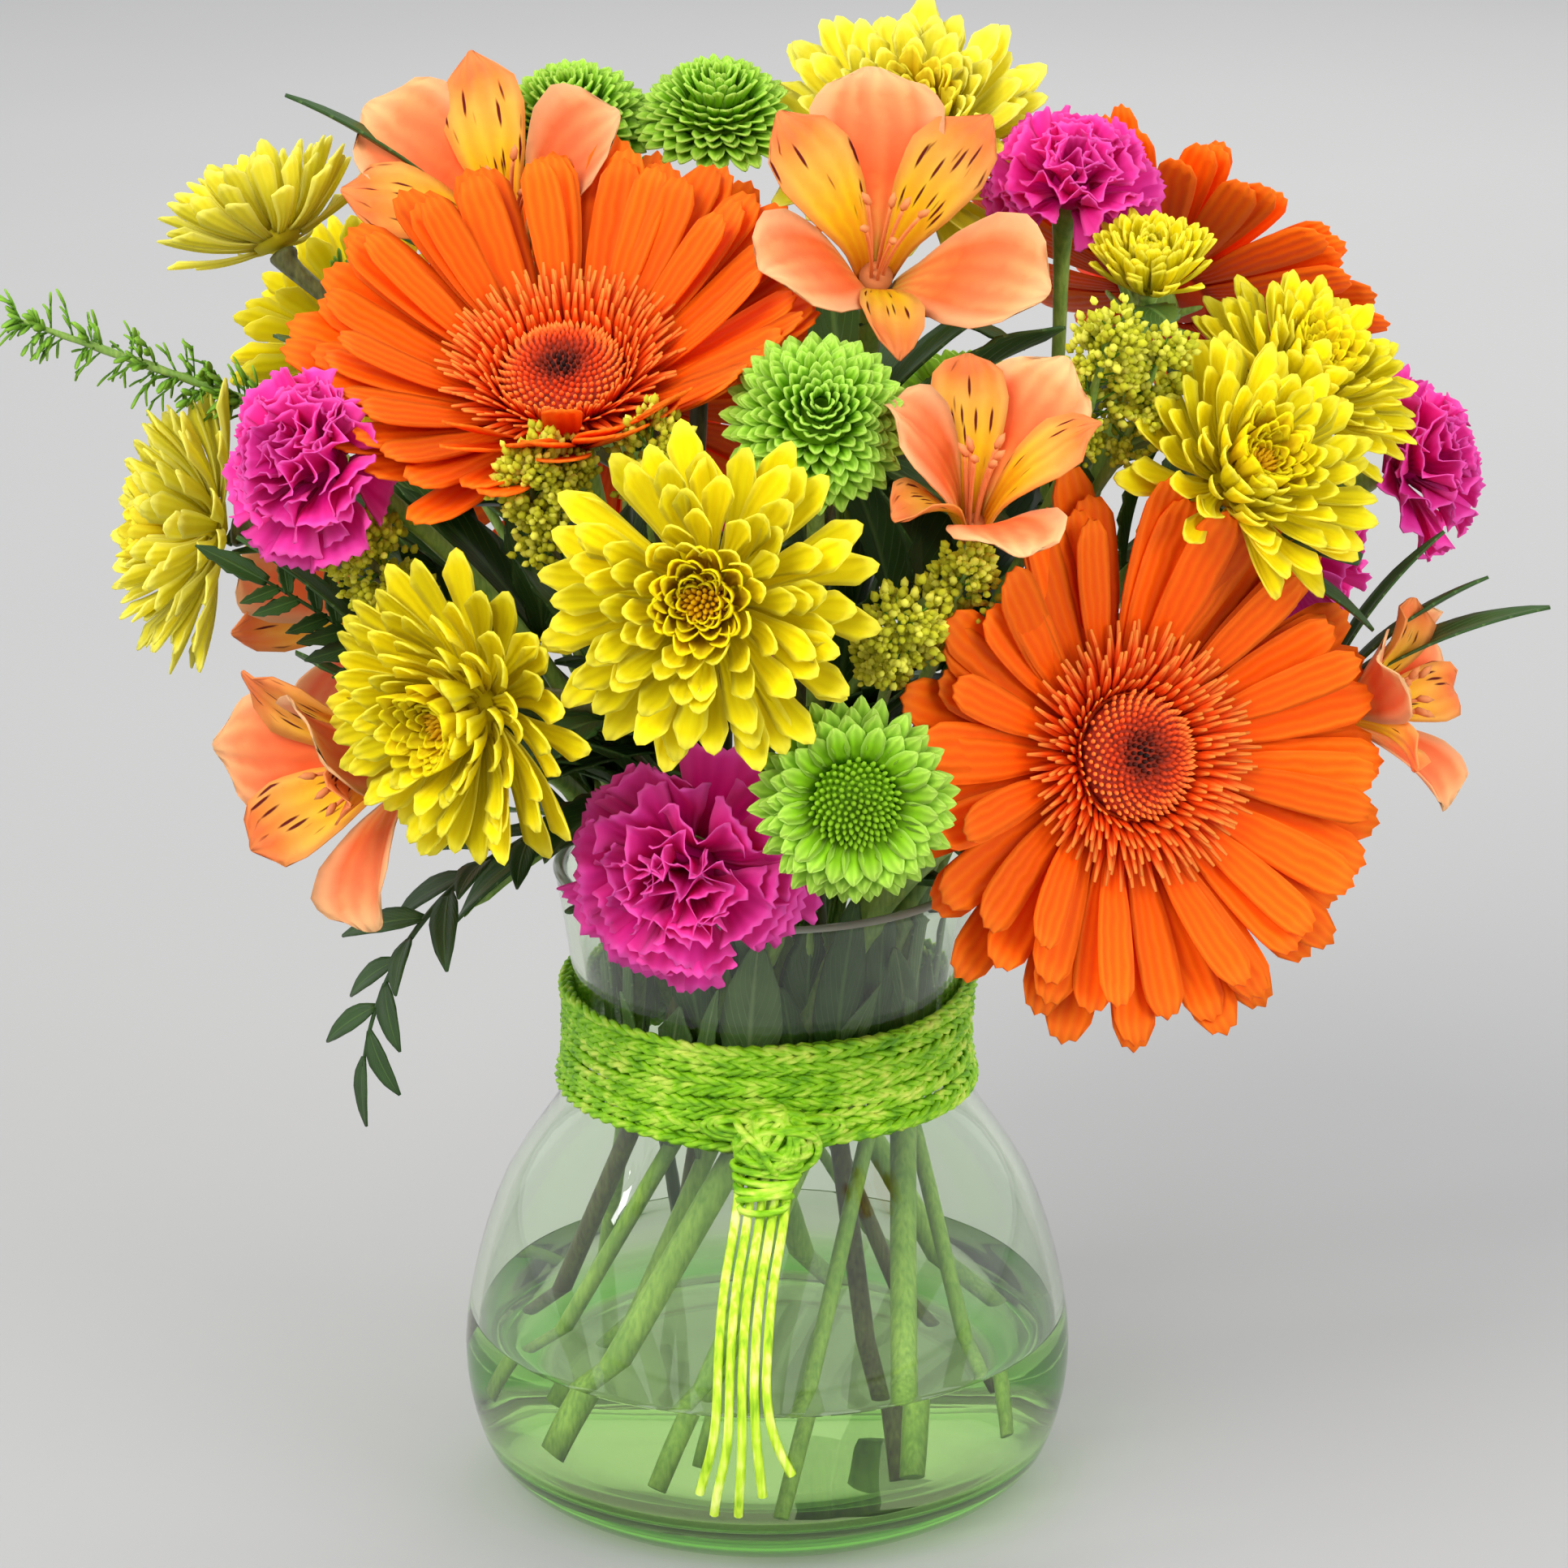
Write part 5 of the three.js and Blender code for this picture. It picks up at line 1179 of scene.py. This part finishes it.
lemon = mum_materials("lemon", (252, 240, 24), (242, 222, 8), (255, 250, 110))
pale_lemon = mum_materials("pale_lemon", (252, 244, 70), (242, 228, 30), (255, 253, 160))
PALE = ("mum_far_left", "mum_top", "mum_top_left")
for bloom in MUMS:
    draws = random.Random(bloom.seed)
    parts = [hub_of(bloom, 0.9)]
    for row, count, width, longer, raised in MUM_RINGS:
        parts += ring(bloom, spoon, row, count, draws.random(), width, 0.45, draws, longer=longer,
                      raised=raised, cup=0.26, wild=2.1)
    for count, width, longer, raised, inward, up in MUM_HEART:
        parts += ring(bloom, spoon, 2, count, draws.random(), width, 0.45, draws, longer=longer,
                      raised=raised, inward=inward, up=up, cup=0.42, wild=1.5, material=1)
    parts += dome(bloom, 4.8, [(0, 9.4), (1, 7.6)], 70, 0.62, 2.2, draws, material=2)
    finish_head(bloom, parts, "_petals", pale_lemon if bloom.name in PALE else lemon, "yellow_petal")


# ---------------------------------------------------------------- green button chrysanthemums
# Tight green pompons of short pointed petals. One has opened to a daisy: two rows of petals
# round a raised dome of buds with pale tips.

button = Kind([(0, -5), (9.2, -3), (10.6, 0.4), (9, 5), (5, 8), (0, 9)], 16,
              [(9.5, 4, 0, True, 1.2, 4.8), (7.5, 30, 0, True, 1.2, 4.4), (6.5, 58, 0, True, 1.2, 3.4)])
daisy = Kind([(0, -5), (7.6, -3.4), (8.4, -1), (8, 1.6), (5, 4.2), (0, 4.8)], 22,
             [(12, 0, 10, True, 1.1, 4.8), (10, 20, 12, True, 1.1, 4)])
BUTTONS = [
    Bloom("button_front", 10, button, (10, -76, 252), (5, 35), size=0.92),
    Bloom("button_top", 16, button, (-10, 20, 291), (6, 68), size=0.88, columns=14),
    Bloom("button_top_left", 17, button, (-40, 25, 289), (-14, 64), size=0.88, columns=14),
    Bloom("button_back", 26, button, (44, 92, 208), (158, 14), size=0.95, columns=14),
    Bloom("button_daisy", 1, daisy, (17, -105, 185), (5, 8)),
]
quill = blank("quill_blank", 2, 5, [(0, 0.6), (0.45, 1), (0.8, 0.8), (1, 0.3)], tip=0.05)
# Rows of petals, from the outside in: tier, how many, lift, how far out, width and length.
BUTTON_RINGS = [(0, 26, 0, 1, 4.6, 1.15), (0.3, 26, 0, 1, 4.4, 1.1), (0.6, 25, 0, 1, 4.2, 1.05),
                (0.9, 24, 0, 1, 4.0, 1.05), (1.2, 22, 0, 1, 3.8, 1.0), (1.5, 21, 0, 1, 3.6, 1.0),
                (1.8, 18, 0, 1, 3.4, 1.0), (2, 17, 6, 0.85, 3.2, 1.0), (2, 14, 12, 0.66, 3.0, 0.95),
                (2, 11, 18, 0.46, 2.8, 0.9), (2, 8, 24, 0.28, 2.4, 0.85)]
# Rows of the opened one: tier, how many and length.
DAISY_RINGS = [(0, 26, 1.06), (0.4, 24, 1.04), (0.8, 22, 1.0), (1, 22, 0.86)]
lime = petal_material("lime_petal", [(0, (118, 178, 14)), (0.5, (160, 222, 34)), (1, (206, 244, 100))],
                      (110, 168, 20), 2, 0.35, rim=((206, 240, 120), 0.45), through=0.36, rough=0.55)
lime_bud = petal_material("lime_bud", [(0, (150, 198, 44)), (0.6, (192, 228, 84)), (1, (240, 250, 170))],
                          (120, 168, 30), 1, 0.25, through=0.3, rough=0.6)
for bloom in BUTTONS:
    draws = random.Random(bloom.seed)
    parts = [hub_of(bloom, 0.93)]
    if bloom.kind is daisy:
        for row, count, longer in DAISY_RINGS:
            parts += ring(bloom, quill, row, count, draws.random(), 4.6, 0.4, draws, longer=longer, cup=0.2)
        dome_rows = [(0, 5.4), (0.4, 5.0), (0.8, 3.6), (1, 2.2)]
        parts += dome(bloom, 8.6, dome_rows, 150, 0.55, 1.25, draws, material=1)
    else:
        for row, count, raised, inward, width, longer in BUTTON_RINGS:
            parts += ring(bloom, quill, row, count, draws.random(), width, 0.4, draws, longer=longer,
                          raised=raised, inward=inward, up=(1 - inward) * 4.2, cup=0.25)
    finish_head(bloom, parts, "_petals", [lime, lime_bud], "green_petal")


# ---------------------------------------------------------------- magenta carnations
# Spray carnations: broad petals with ruffled, toothed rims, crowded and folded at the heart.

carnation = Kind([(0, -8), (4.6, -5.4), (5.6, -2.4), (5.2, 1), (3.2, 3.8), (0, 5)], 10,
                 [(17.5, 14, -20, True, 1, 17), (16, 42, -20, True, 1, 14), (13, 70, -10, True, 1, 10)])
CARNATIONS = [
    Bloom("carnation_rim", 5, carnation, (-15, -80, 163), (-6, -4), roll=10, size=1.1),
    Bloom("carnation_left", 7, carnation, (-87, -64, 241), (-40, 26), size=0.95),
    Bloom("carnation_top", 15, carnation, (62, 5, 281), (10, 55), size=0.82),
    Bloom("carnation_right", 21, carnation, (133, 5, 223), (78, 25), size=0.9, columns=8),
    Bloom("carnation_back", 27, carnation, (-12, 96, 168), (182, 0), columns=8),
    Bloom("carnation_back_right", 28, carnation, (112, 52, 192), (118, 8), columns=8),
]
ruffle = blank("ruffle_blank", 18, 9, [(0, 0.2), (0.3, 0.42), (0.6, 0.78), (0.85, 1), (1, 1)], tip=0.16,
               bite=0.05, bites=9)
# Rows of petals, from the outside in: tier, how many, width, length, lift, how far out, how much
# higher and how deeply ruffled.
CARNATION_RINGS = [(0, 5, 21, 1.06, 0, 1, 0, 2.2), (0.3, 5, 20, 1.04, 0, 1, 0, 2.6),
                   (0.7, 5, 19, 1.02, 0, 1, 0, 2.8), (1.1, 5, 18, 1, 0, 1, 0, 3),
                   (1.5, 5, 17, 1, 0, 1, 0, 3), (2, 5, 15, 1, 0, 0.9, 0.5, 3),
                   (2, 4, 14, 0.94, 6, 0.6, 1, 3), (2, 3, 12, 0.86, 12, 0.35, 1.4, 2.8)]
RUFFLES = 2.7
magenta = petal_material("magenta_petal", [(0, (210, 10, 122)), (0.55, (246, 34, 164)), (1, (250, 84, 194))],
                         (226, 14, 140), 7, 0.25, rim=((255, 136, 216), 0.35), through=0.42, rough=0.65)
for bloom in CARNATIONS:
    draws = random.Random(bloom.seed)
    parts = [hub_of(bloom, 0.9)]
    for row, count, width, longer, raised, inward, up, depth in CARNATION_RINGS:
        parts += ring(bloom, ruffle, row, count, draws.random(), width, 0.35, draws, longer=longer,
                      raised=raised, inward=inward, up=up, cup=0.04, ripple=(RUFFLES, depth * bloom.size),
                      wild=2)
    finish_head(bloom, parts, "_petals", [magenta], "magenta_petal")


# ---------------------------------------------------------------- peach alstroemerias
# A trumpet of three broad peach sepals and three narrower petals, yellow in the throat and
# flecked with dark streaks, with curved stamens.

alstroemeria = Kind([(0, -27), (2.8, -25), (3.6, -20), (0, -18)], 6, [(44, 70, -60, True, 1, 10)],
                    crowded=True)
LILIES = [
    Bloom("alstroemeria_left", 6, alstroemeria, (-84, -64, 177), (-48, 0), roll=30, size=0.95),
    Bloom("alstroemeria_front", 9, alstroemeria, (40, -75, 243), (0, 58), roll=20, size=0.85),
    Bloom("alstroemeria_top", 11, alstroemeria, (23, -35, 280), (4, 40), roll=60),
    Bloom("alstroemeria_back_left", 12, alstroemeria, (-55, 0, 280), (-14, 44), size=0.98),
    Bloom("alstroemeria_right", 22, alstroemeria, (130, -25, 181), (68, 20), size=0.7),
    Bloom("alstroemeria_back", 29, alstroemeria, (-92, 62, 178), (-130, 4), size=0.95),
]
sepal = blank("sepal_blank", 8, 14, [(0, 0.18), (0.2, 0.3), (0.42, 0.7), (0.64, 0.98), (0.8, 1),
                                     (0.92, 0.78), (1, 0.34)], tip=0.06)
inner_petal = blank("inner_blank", 8, 14, [(0, 0.24), (0.25, 0.38), (0.5, 0.78), (0.7, 1), (0.86, 0.86),
                                           (0.96, 0.42), (1, 0.16)], tip=0.02)
# The uppermost tepal is at column 0, or where UPPER says. The two inner petals beside it lean to it,
# and the third is smaller.
UPPER = {"alstroemeria_left": 2, "alstroemeria_back_left": 2}
TEPALS, STAMENS = 6, 6
SEPAL_WIDTH, BESIDE_WIDTH, THIRD_WIDTH = 27, 18.5, 13
BESIDE_LEAN = 18
peach = petal_material("peach_sepal", [(0, (190, 190, 60)), (0.25, (248, 176, 90)), (0.5, (250, 122, 60)),
                                       (0.72, (250, 140, 84)), (1, (250, 196, 130))],
                       (246, 100, 56), 5, 0.35, rim=((252, 206, 150), 0.75), through=0.34, rough=0.5)
flecked = petal_material("flecked_petal", [(0, (244, 170, 30)), (0.45, (254, 214, 30)),
                                           (0.72, (252, 190, 80)), (0.9, (248, 130, 70)),
                                           (1, (244, 110, 60))],
                         (244, 140, 40), 4, 0.3, rim=((250, 170, 100), 0.6), through=0.34, rough=0.5,
                         flecks=((104, 24, 24), (0.34, 0.95)))
stamen_finish = petal_material("stamen", [(0, (236, 150, 90)), (1, (196, 100, 70))], (220, 120, 80), 1, 0.2,
                               through=0.1)
for bloom in LILIES:
    draws = random.Random(bloom.seed)
    parts = [hub_of(bloom, 0.95, material=2)]
    root, base, length, pitch, curl = bloom.tier(0)
    for column in range(TEPALS):
        azimuth = 2 * pi * (column + 0.5) / TEPALS
        cut, bend = bloom.bent(0, azimuth)
        shape, width, inward, longer, raised = sepal, SEPAL_WIDTH, 1, 1, 0
        if column % 2:
            # How many places it is from the uppermost tepal, to either side.
            beside = (column - UPPER.get(bloom.name, 0) + 3) % TEPALS - 3
            shape, width, inward, longer, raised = inner_petal, THIRD_WIDTH, 0.8, 0.97, 5
            if abs(beside) == 1:
                width = BESIDE_WIDTH
                azimuth += radians(BESIDE_LEAN) * (-1 if beside > 0 else 1)
        parts.append(lay_clear(bloom, shape, azimuth, root * inward, base, length * cut ** SPARED * longer,
                               pitch + bend + radians(raised), curl, width * bloom.size, 0.45, cup=0.1,
                               twist=draws.uniform(-0.14, 0.14), bow=draws.uniform(-0.04, 0.04),
                               ripple=(1.8, 2.2, draws.uniform(0, 6)), shade=draws.random(),
                               material=column % 2, dodges=(0, 8, 14)))
    for stamen in range(STAMENS):
        azimuth = 2 * pi * (stamen + draws.uniform(0.1, 0.9)) / STAMENS
        share = np.linspace(0, 1, 9)
        out = 1.2 + (2.5 + draws.uniform(0, 3)) * share ** 2
        high = -22 + 27 * share * draws.uniform(0.86, 1.05)
        line = np.stack((out * cos(azimuth) + 2 * share ** 2, out * sin(azimuth), high), 1) * bloom.size
        line = line @ bloom.axes.T + bloom.at
        parts.append(tube(line, 0.42, 5, material=2, shade=0.8))
        tip = bloom.axes.T @ (line[-1] - bloom.at)
        parts.append(bud_at(bloom.place, tip, (cos(azimuth), sin(azimuth), 1.5), 0.9, 1.8, material=2,
                            shade=0.1))
    finish_head(bloom, parts, "_tepals", [peach, flecked, stamen_finish], "peach_petal")


# ---------------------------------------------------------------- leaves
# The stems' own leaves are folded along the midrib. More leaves fill the bouquet between the
# heads, keep clear of them, and line the neck of the vase.

draws = random.Random(31)
UPRIGHT = np.eye(3)
mum_leaf = blank("mum_leaf_blank", 8, 26, [(0, 0.2), (0.1, 0.42), (0.3, 0.9), (0.5, 1.08), (0.72, 1.02),
                                           (0.88, 0.7), (1, 0.14)], teeth=7)
lance = blank("lance_blank", 6, 14, [(0, 0.26), (0.2, 0.72), (0.45, 1.06), (0.7, 0.86), (0.9, 0.42),
                                     (1, 0.1)])
filling_leaf = blank("filling_leaf_blank", 6, 16, [(0, 0.16), (0.12, 0.5), (0.34, 0.94), (0.56, 1),
                                                  (0.78, 0.74), (0.92, 0.4), (1, 0.08)], teeth=5)
parts = []
for stem, at, azimuth, length, pitch, curl, width, toothed in LEAVES:
    thick = BLADE_THICK if pitch < STEEP else SHEATH_THICK
    parts.append(lay(mum_leaf if toothed else lance, (UPRIGHT, np.array(at)), radians(azimuth), 0, 0,
                     length * 1.02, radians(pitch), radians(curl), width, thick, fold=LEAF_FOLD,
                     ripple=(2, 0.8, draws.uniform(0, 6)), shade=draws.random()))

skin = [v.co / MM for n in NODES if "_stem_" in n for v in NODES[n].data.vertices]
skin_tree = tree_of(skin)
BLOOMS = [(bloom, (47 if bloom.kind is gerbera else 27) * bloom.size)
          for bloom in GERBERAS + MUMS + BUTTONS + CARNATIONS + LILIES]
FACE_DEPTH = 60


def hides_a_bloom(line, share=1):
    """Whether any point of a leaf's midrib lies before the face of a bloom, or before a share of it."""
    for bloom, reach in BLOOMS:
        near = (line - bloom.at) @ bloom.axes
        off_axis = np.hypot(near[:, 0], near[:, 1])
        face = off_axis * sin(radians(bloom.cupped)) * 0.8 - 2
        if ((near[:, 2] > face) & (near[:, 2] < FACE_DEPTH) & (off_axis < reach * share)).any():
            return True
    return False


HEAD_TREES = [tree for at, tree in GROWN]
WIDEST, LOWEST = 108, 132


def fill(at, azimuth, length, pitch, curl, apart, middles):
    """A leaf is added to the parts where it has room, and clear of the heads."""
    line = middle(np.array(at), azimuth, length, pitch, curl, np.linspace(0.1, 1, 10))[0]
    if math.hypot(line[-1][0], line[-1][1]) > WIDEST or line[-1][2] < LOWEST:
        return False
    if any(np.linalg.norm(line[5] - other) < apart for other in middles) or hides_a_bloom(line[3:]):
        return False
    leaf = lay(filling_leaf, (UPRIGHT, np.array(at)), azimuth, 0, 0, length, pitch, curl,
               length * draws.uniform(0.3, 0.44), 0.6, fold=0.25, twist=draws.uniform(-0.5, 0.5),
               ripple=(2, 1.2, draws.uniform(0, 6)), shade=draws.random())
    if meets(leaf, filling_leaf, HEAD_TREES):
        return False
    middles.append(line[5])
    parts.append(leaf)
    return True


# Where the photographed side would show the ground between the heads. Up to three leaves fill each
# gap, and start from the stem that is nearest to it, somewhat lower.
GAPS = [(-51, -20, 200), (31, -20, 215), (-60, -20, 218), (-71, -20, 212), (39, -20, 209), (-6, -20, 229),
        (-40, -20, 209), (-31, -20, 155), (48, -20, 258), (-57, -20, 193), (74, -20, 224), (-83, -20, 209),
        (9, -20, 244), (115, -20, 209)]
GAP_LEAVES, GAP_TRIES = 3, 140
middles = []
for gap in GAPS:
    made = 0
    for attempt in range(GAP_TRIES):
        spot = Vector(gap) + Vector((draws.uniform(-5, 5), 1, -0.32)) * draws.uniform(-16, 40)
        under = Vector((draws.uniform(-14, 14), draws.uniform(-8, 8), draws.uniform(-34, -8)))
        start = skin_tree.find(spot + under)[0]
        way = spot - start
        if made < GAP_LEAVES and 8 < way.length < 34:
            made += fill(start, math.atan2(way.y, way.x), way.length * draws.uniform(1.5, 1.9),
                         math.asin(way.z / way.length) + 0.15, radians(-20), 6, middles)
FILLING_LEAVES, FILLING_TRIES, FILLING_REACH = 150, 6000, 92
for attempt in range(FILLING_TRIES):
    at = draws.choice(skin)
    azimuth = math.atan2(at.y, at.x) + draws.uniform(-1.0, 1.0)
    length = draws.uniform(28, 50)
    pitch, curl = radians(draws.uniform(0, 75)), radians(draws.uniform(-60, -12))
    if len(middles) < FILLING_LEAVES and 136 < at.z < 270 and math.hypot(at.x, at.y) < FILLING_REACH:
        fill(at, azimuth, length, pitch, curl, 7.5, middles)

# Slim leaves show past the heads: each starts at the stem nearest to the first spot, ends at the
# second, and has a width.
SLIM_LEAVES = [((113, -14, 191), (160, -15, 197), 9), ((112, -12, 193), (138, -15, 213), 6),
               ((115, -14, 192), (147, -17, 204), 6), ((-58, 10, 266), (-97, 5, 299), 8),
               ((-84, -40, 190), (-104, -52, 222), 10), ((100, -20, 200), (122, -34, 198), 9)]
for start, tip, width in SLIM_LEAVES:
    at = np.array(skin_tree.find(start)[0])
    way = np.array(tip) - at
    length = np.linalg.norm(way)
    parts.append(lay(lance, (UPRIGHT, at), math.atan2(way[1], way[0]), 0, 0, length * 1.02,
                     math.asin(way[2] / length) + radians(15), radians(-30), width, 0.6, fold=0.3,
                     twist=draws.uniform(-0.3, 0.3), shade=draws.random() * 0.6))

# Leaves stand round the neck against the glass, in three layers. A leaf that bows to the side stands further
# in.
# Most of them take a paler grey-green: partly the leaves' own colour, partly a painted sheen of the glass
# over them.
NECK_LEAVES, NECK_REACH, NECK_LAYERS = 30, 35.6, 3
for k in range(NECK_LEAVES):
    turn = 2 * pi * (k + draws.uniform(-0.6, 0.6)) / NECK_LEAVES
    lean = draws.uniform(-0.34, 0.34)
    reach = NECK_REACH - 9 * abs(lean) - 1.1 * (k % NECK_LAYERS)
    at = np.array((reach * cos(turn), reach * sin(turn), draws.uniform(80, 98)))
    parts.append(lay(draws.choice((filling_leaf, lance, lobe)), (UPRIGHT, at), turn, 0, 0,
                     draws.uniform(30, 52), radians(89), radians(-5), draws.uniform(5, 15), 0.5, cup=0.1,
                     twist=draws.uniform(-0.7, 0.7), bow=lean, ripple=(2, 0.7, draws.uniform(0, 6)),
                     shade=draws.uniform(0, 1), material=draws.choice((0, 1, 1, 1))))
leaf_green = leaf_material("leaf_green", (70, 108, 44), (30, 60, 22), (112, 148, 74), 0.4)
# A paler grey-green leaf: the leaves' own grey-green with a painted sheen of the glass in front of them.
neck_sheen_green = leaf_material("neck_leaf_painted_sheen", (142, 172, 108), (72, 106, 58), (186, 206, 150), 0.5)
settle(build("leaf_blades", parts), [leaf_green, neck_sheen_green], "leaf")


# ---------------------------------------------------------------- filler sprays
# Clouds of tiny yellow-green buds on thin forked twigs fill the gaps between the heads. The spray
# at the far left is a lacy green one, with small pointed bracts in place of most of its buds.

# The plumes of each spray: where one starts, where it looks, its length and its radius.
PLUMES = {
    "filler_left": [((-22, -68, 238), (0, 40), 18, 4), ((-34, -66, 232), (-40, 40), 20, 4),
                    ((-68, -52, 206), (-50, 48), 28, 4), ((-40, -70, 222), (-30, 60), 26, 3.6)],
    "filler_right": [((62, -42, 238), (20, 62), 34, 4.2), ((70, -40, 236), (50, 66), 28, 3.6),
                     ((24, -74, 200), (10, 48), 26, 4), ((34, -66, 204), (30, 62), 24, 3.6)],
    "filler_spike": [((-100, -4, 236), (-90, 20), 58, 4.2), ((-70, 40, 222), (-110, 52), 40, 4),
                     ((-30, 66, 250), (190, 62), 34, 4)],
}
GREEN_SPRAY, WOODY_SPRAY = "filler_spike", "filler_left"
# Inside a plume the CAD spray's body shrinks to this share, and is its twig.
TWIG_CORE = 0.3
GOLDEN_STEP = 2.4
straw = petal_material("filler_bud", [(0, (206, 206, 50)), (1, (244, 240, 96))], (196, 196, 44), 1, 0.2,
                       through=0.3, rough=0.7)
straw_light = petal_material("filler_floret", [(0, (238, 236, 90)), (1, (255, 252, 170))], (224, 222, 70),
                             1, 0.2, through=0.3, rough=0.7)
lacy = petal_material("filler_bract", [(0, (90, 140, 36)), (1, (150, 200, 70))], (100, 150, 40), 1, 0.3,
                      through=0.2, rough=0.6)


def bracts(start, stop, side):
    """Three small pointed bracts on a side twig."""
    for bract in range(3):
        astray = np.array([draws.uniform(-0.5, 0.5) for _ in "xyz"])
        way = unit((stop - start) / np.linalg.norm(stop - start) + astray)
        spot = start + (stop - start) * (0.3 + 0.3 * bract)
        parts.append(lay(quill, (axes_of(way, unit(np.cross(way, side))), spot), 0, 0, 0,
                         draws.uniform(2.6, 4.4), 0.1, 0.5, 1.7, 0.35, cup=0.1, material=2,
                         shade=draws.random()))


def tuft(start, stop, axis):
    """A tuft of tiny buds at the end of a side twig, where it leaves the blooms in sight."""
    for bud in range(draws.randint(14, 20)):
        spot = stop + np.array([draws.gauss(0, 1.5) for _ in "xyz"])
        if hides_a_bloom(spot[None], 0.5):
            continue
        size = draws.uniform(0.6, 1.0)
        parts.append(bud_at((UPRIGHT, np.zeros(3)), spot, spot - start + axis, size, size * 1.15,
                            material=draws.choice((0, 0, 1)), shade=draws.random()))


for node, plumes in PLUMES.items():
    draws = random.Random(len(plumes) * 7 + len(node))
    green = node == GREEN_SPRAY
    twigs = fair_copy(node, node + "_twigs", 0.2)
    spots = read_corners(twigs)
    parts = []
    for at, look, length, radius in plumes:
        axis = facing(look)
        side = unit(np.cross(axis, (0, 0, 1)))
        other = np.cross(axis, side)
        along = (spots - at) @ axis
        off = spots - at - np.outer(along, axis)
        near = (along > -1.4) & (along < length + 2) & (np.linalg.norm(off, axis=1) < radius * 1.5)
        spots[near] -= off[near] * (1 - TWIG_CORE)
        for branch in range(int(length * (1.5 if green else 1.15))):
            place = draws.random()
            girth = radius * (0.45 + 0.85 * sin(pi * (0.1 + 0.8 * place)))
            out = cos(GOLDEN_STEP * branch) * side + sin(GOLDEN_STEP * branch) * other
            start = np.array(at) + axis * length * place * 0.96
            stop = start + out * girth * draws.uniform(0.7, 1.5) + axis * girth * draws.uniform(0.3, 0.9)
            parts.append(tube(np.linspace(start, stop, 3), 0.22, 4, material=2, shade=draws.random()))
            if green:
                bracts(start, stop, side)
            else:
                tuft(start, stop, axis)
    move_corners(twigs, spots)
    settle(twigs, [woody if node == WOODY_SPRAY else fresh], "filler", node)
    settle(build(node + "_buds", parts), [straw, straw_light, lacy], "filler", node)
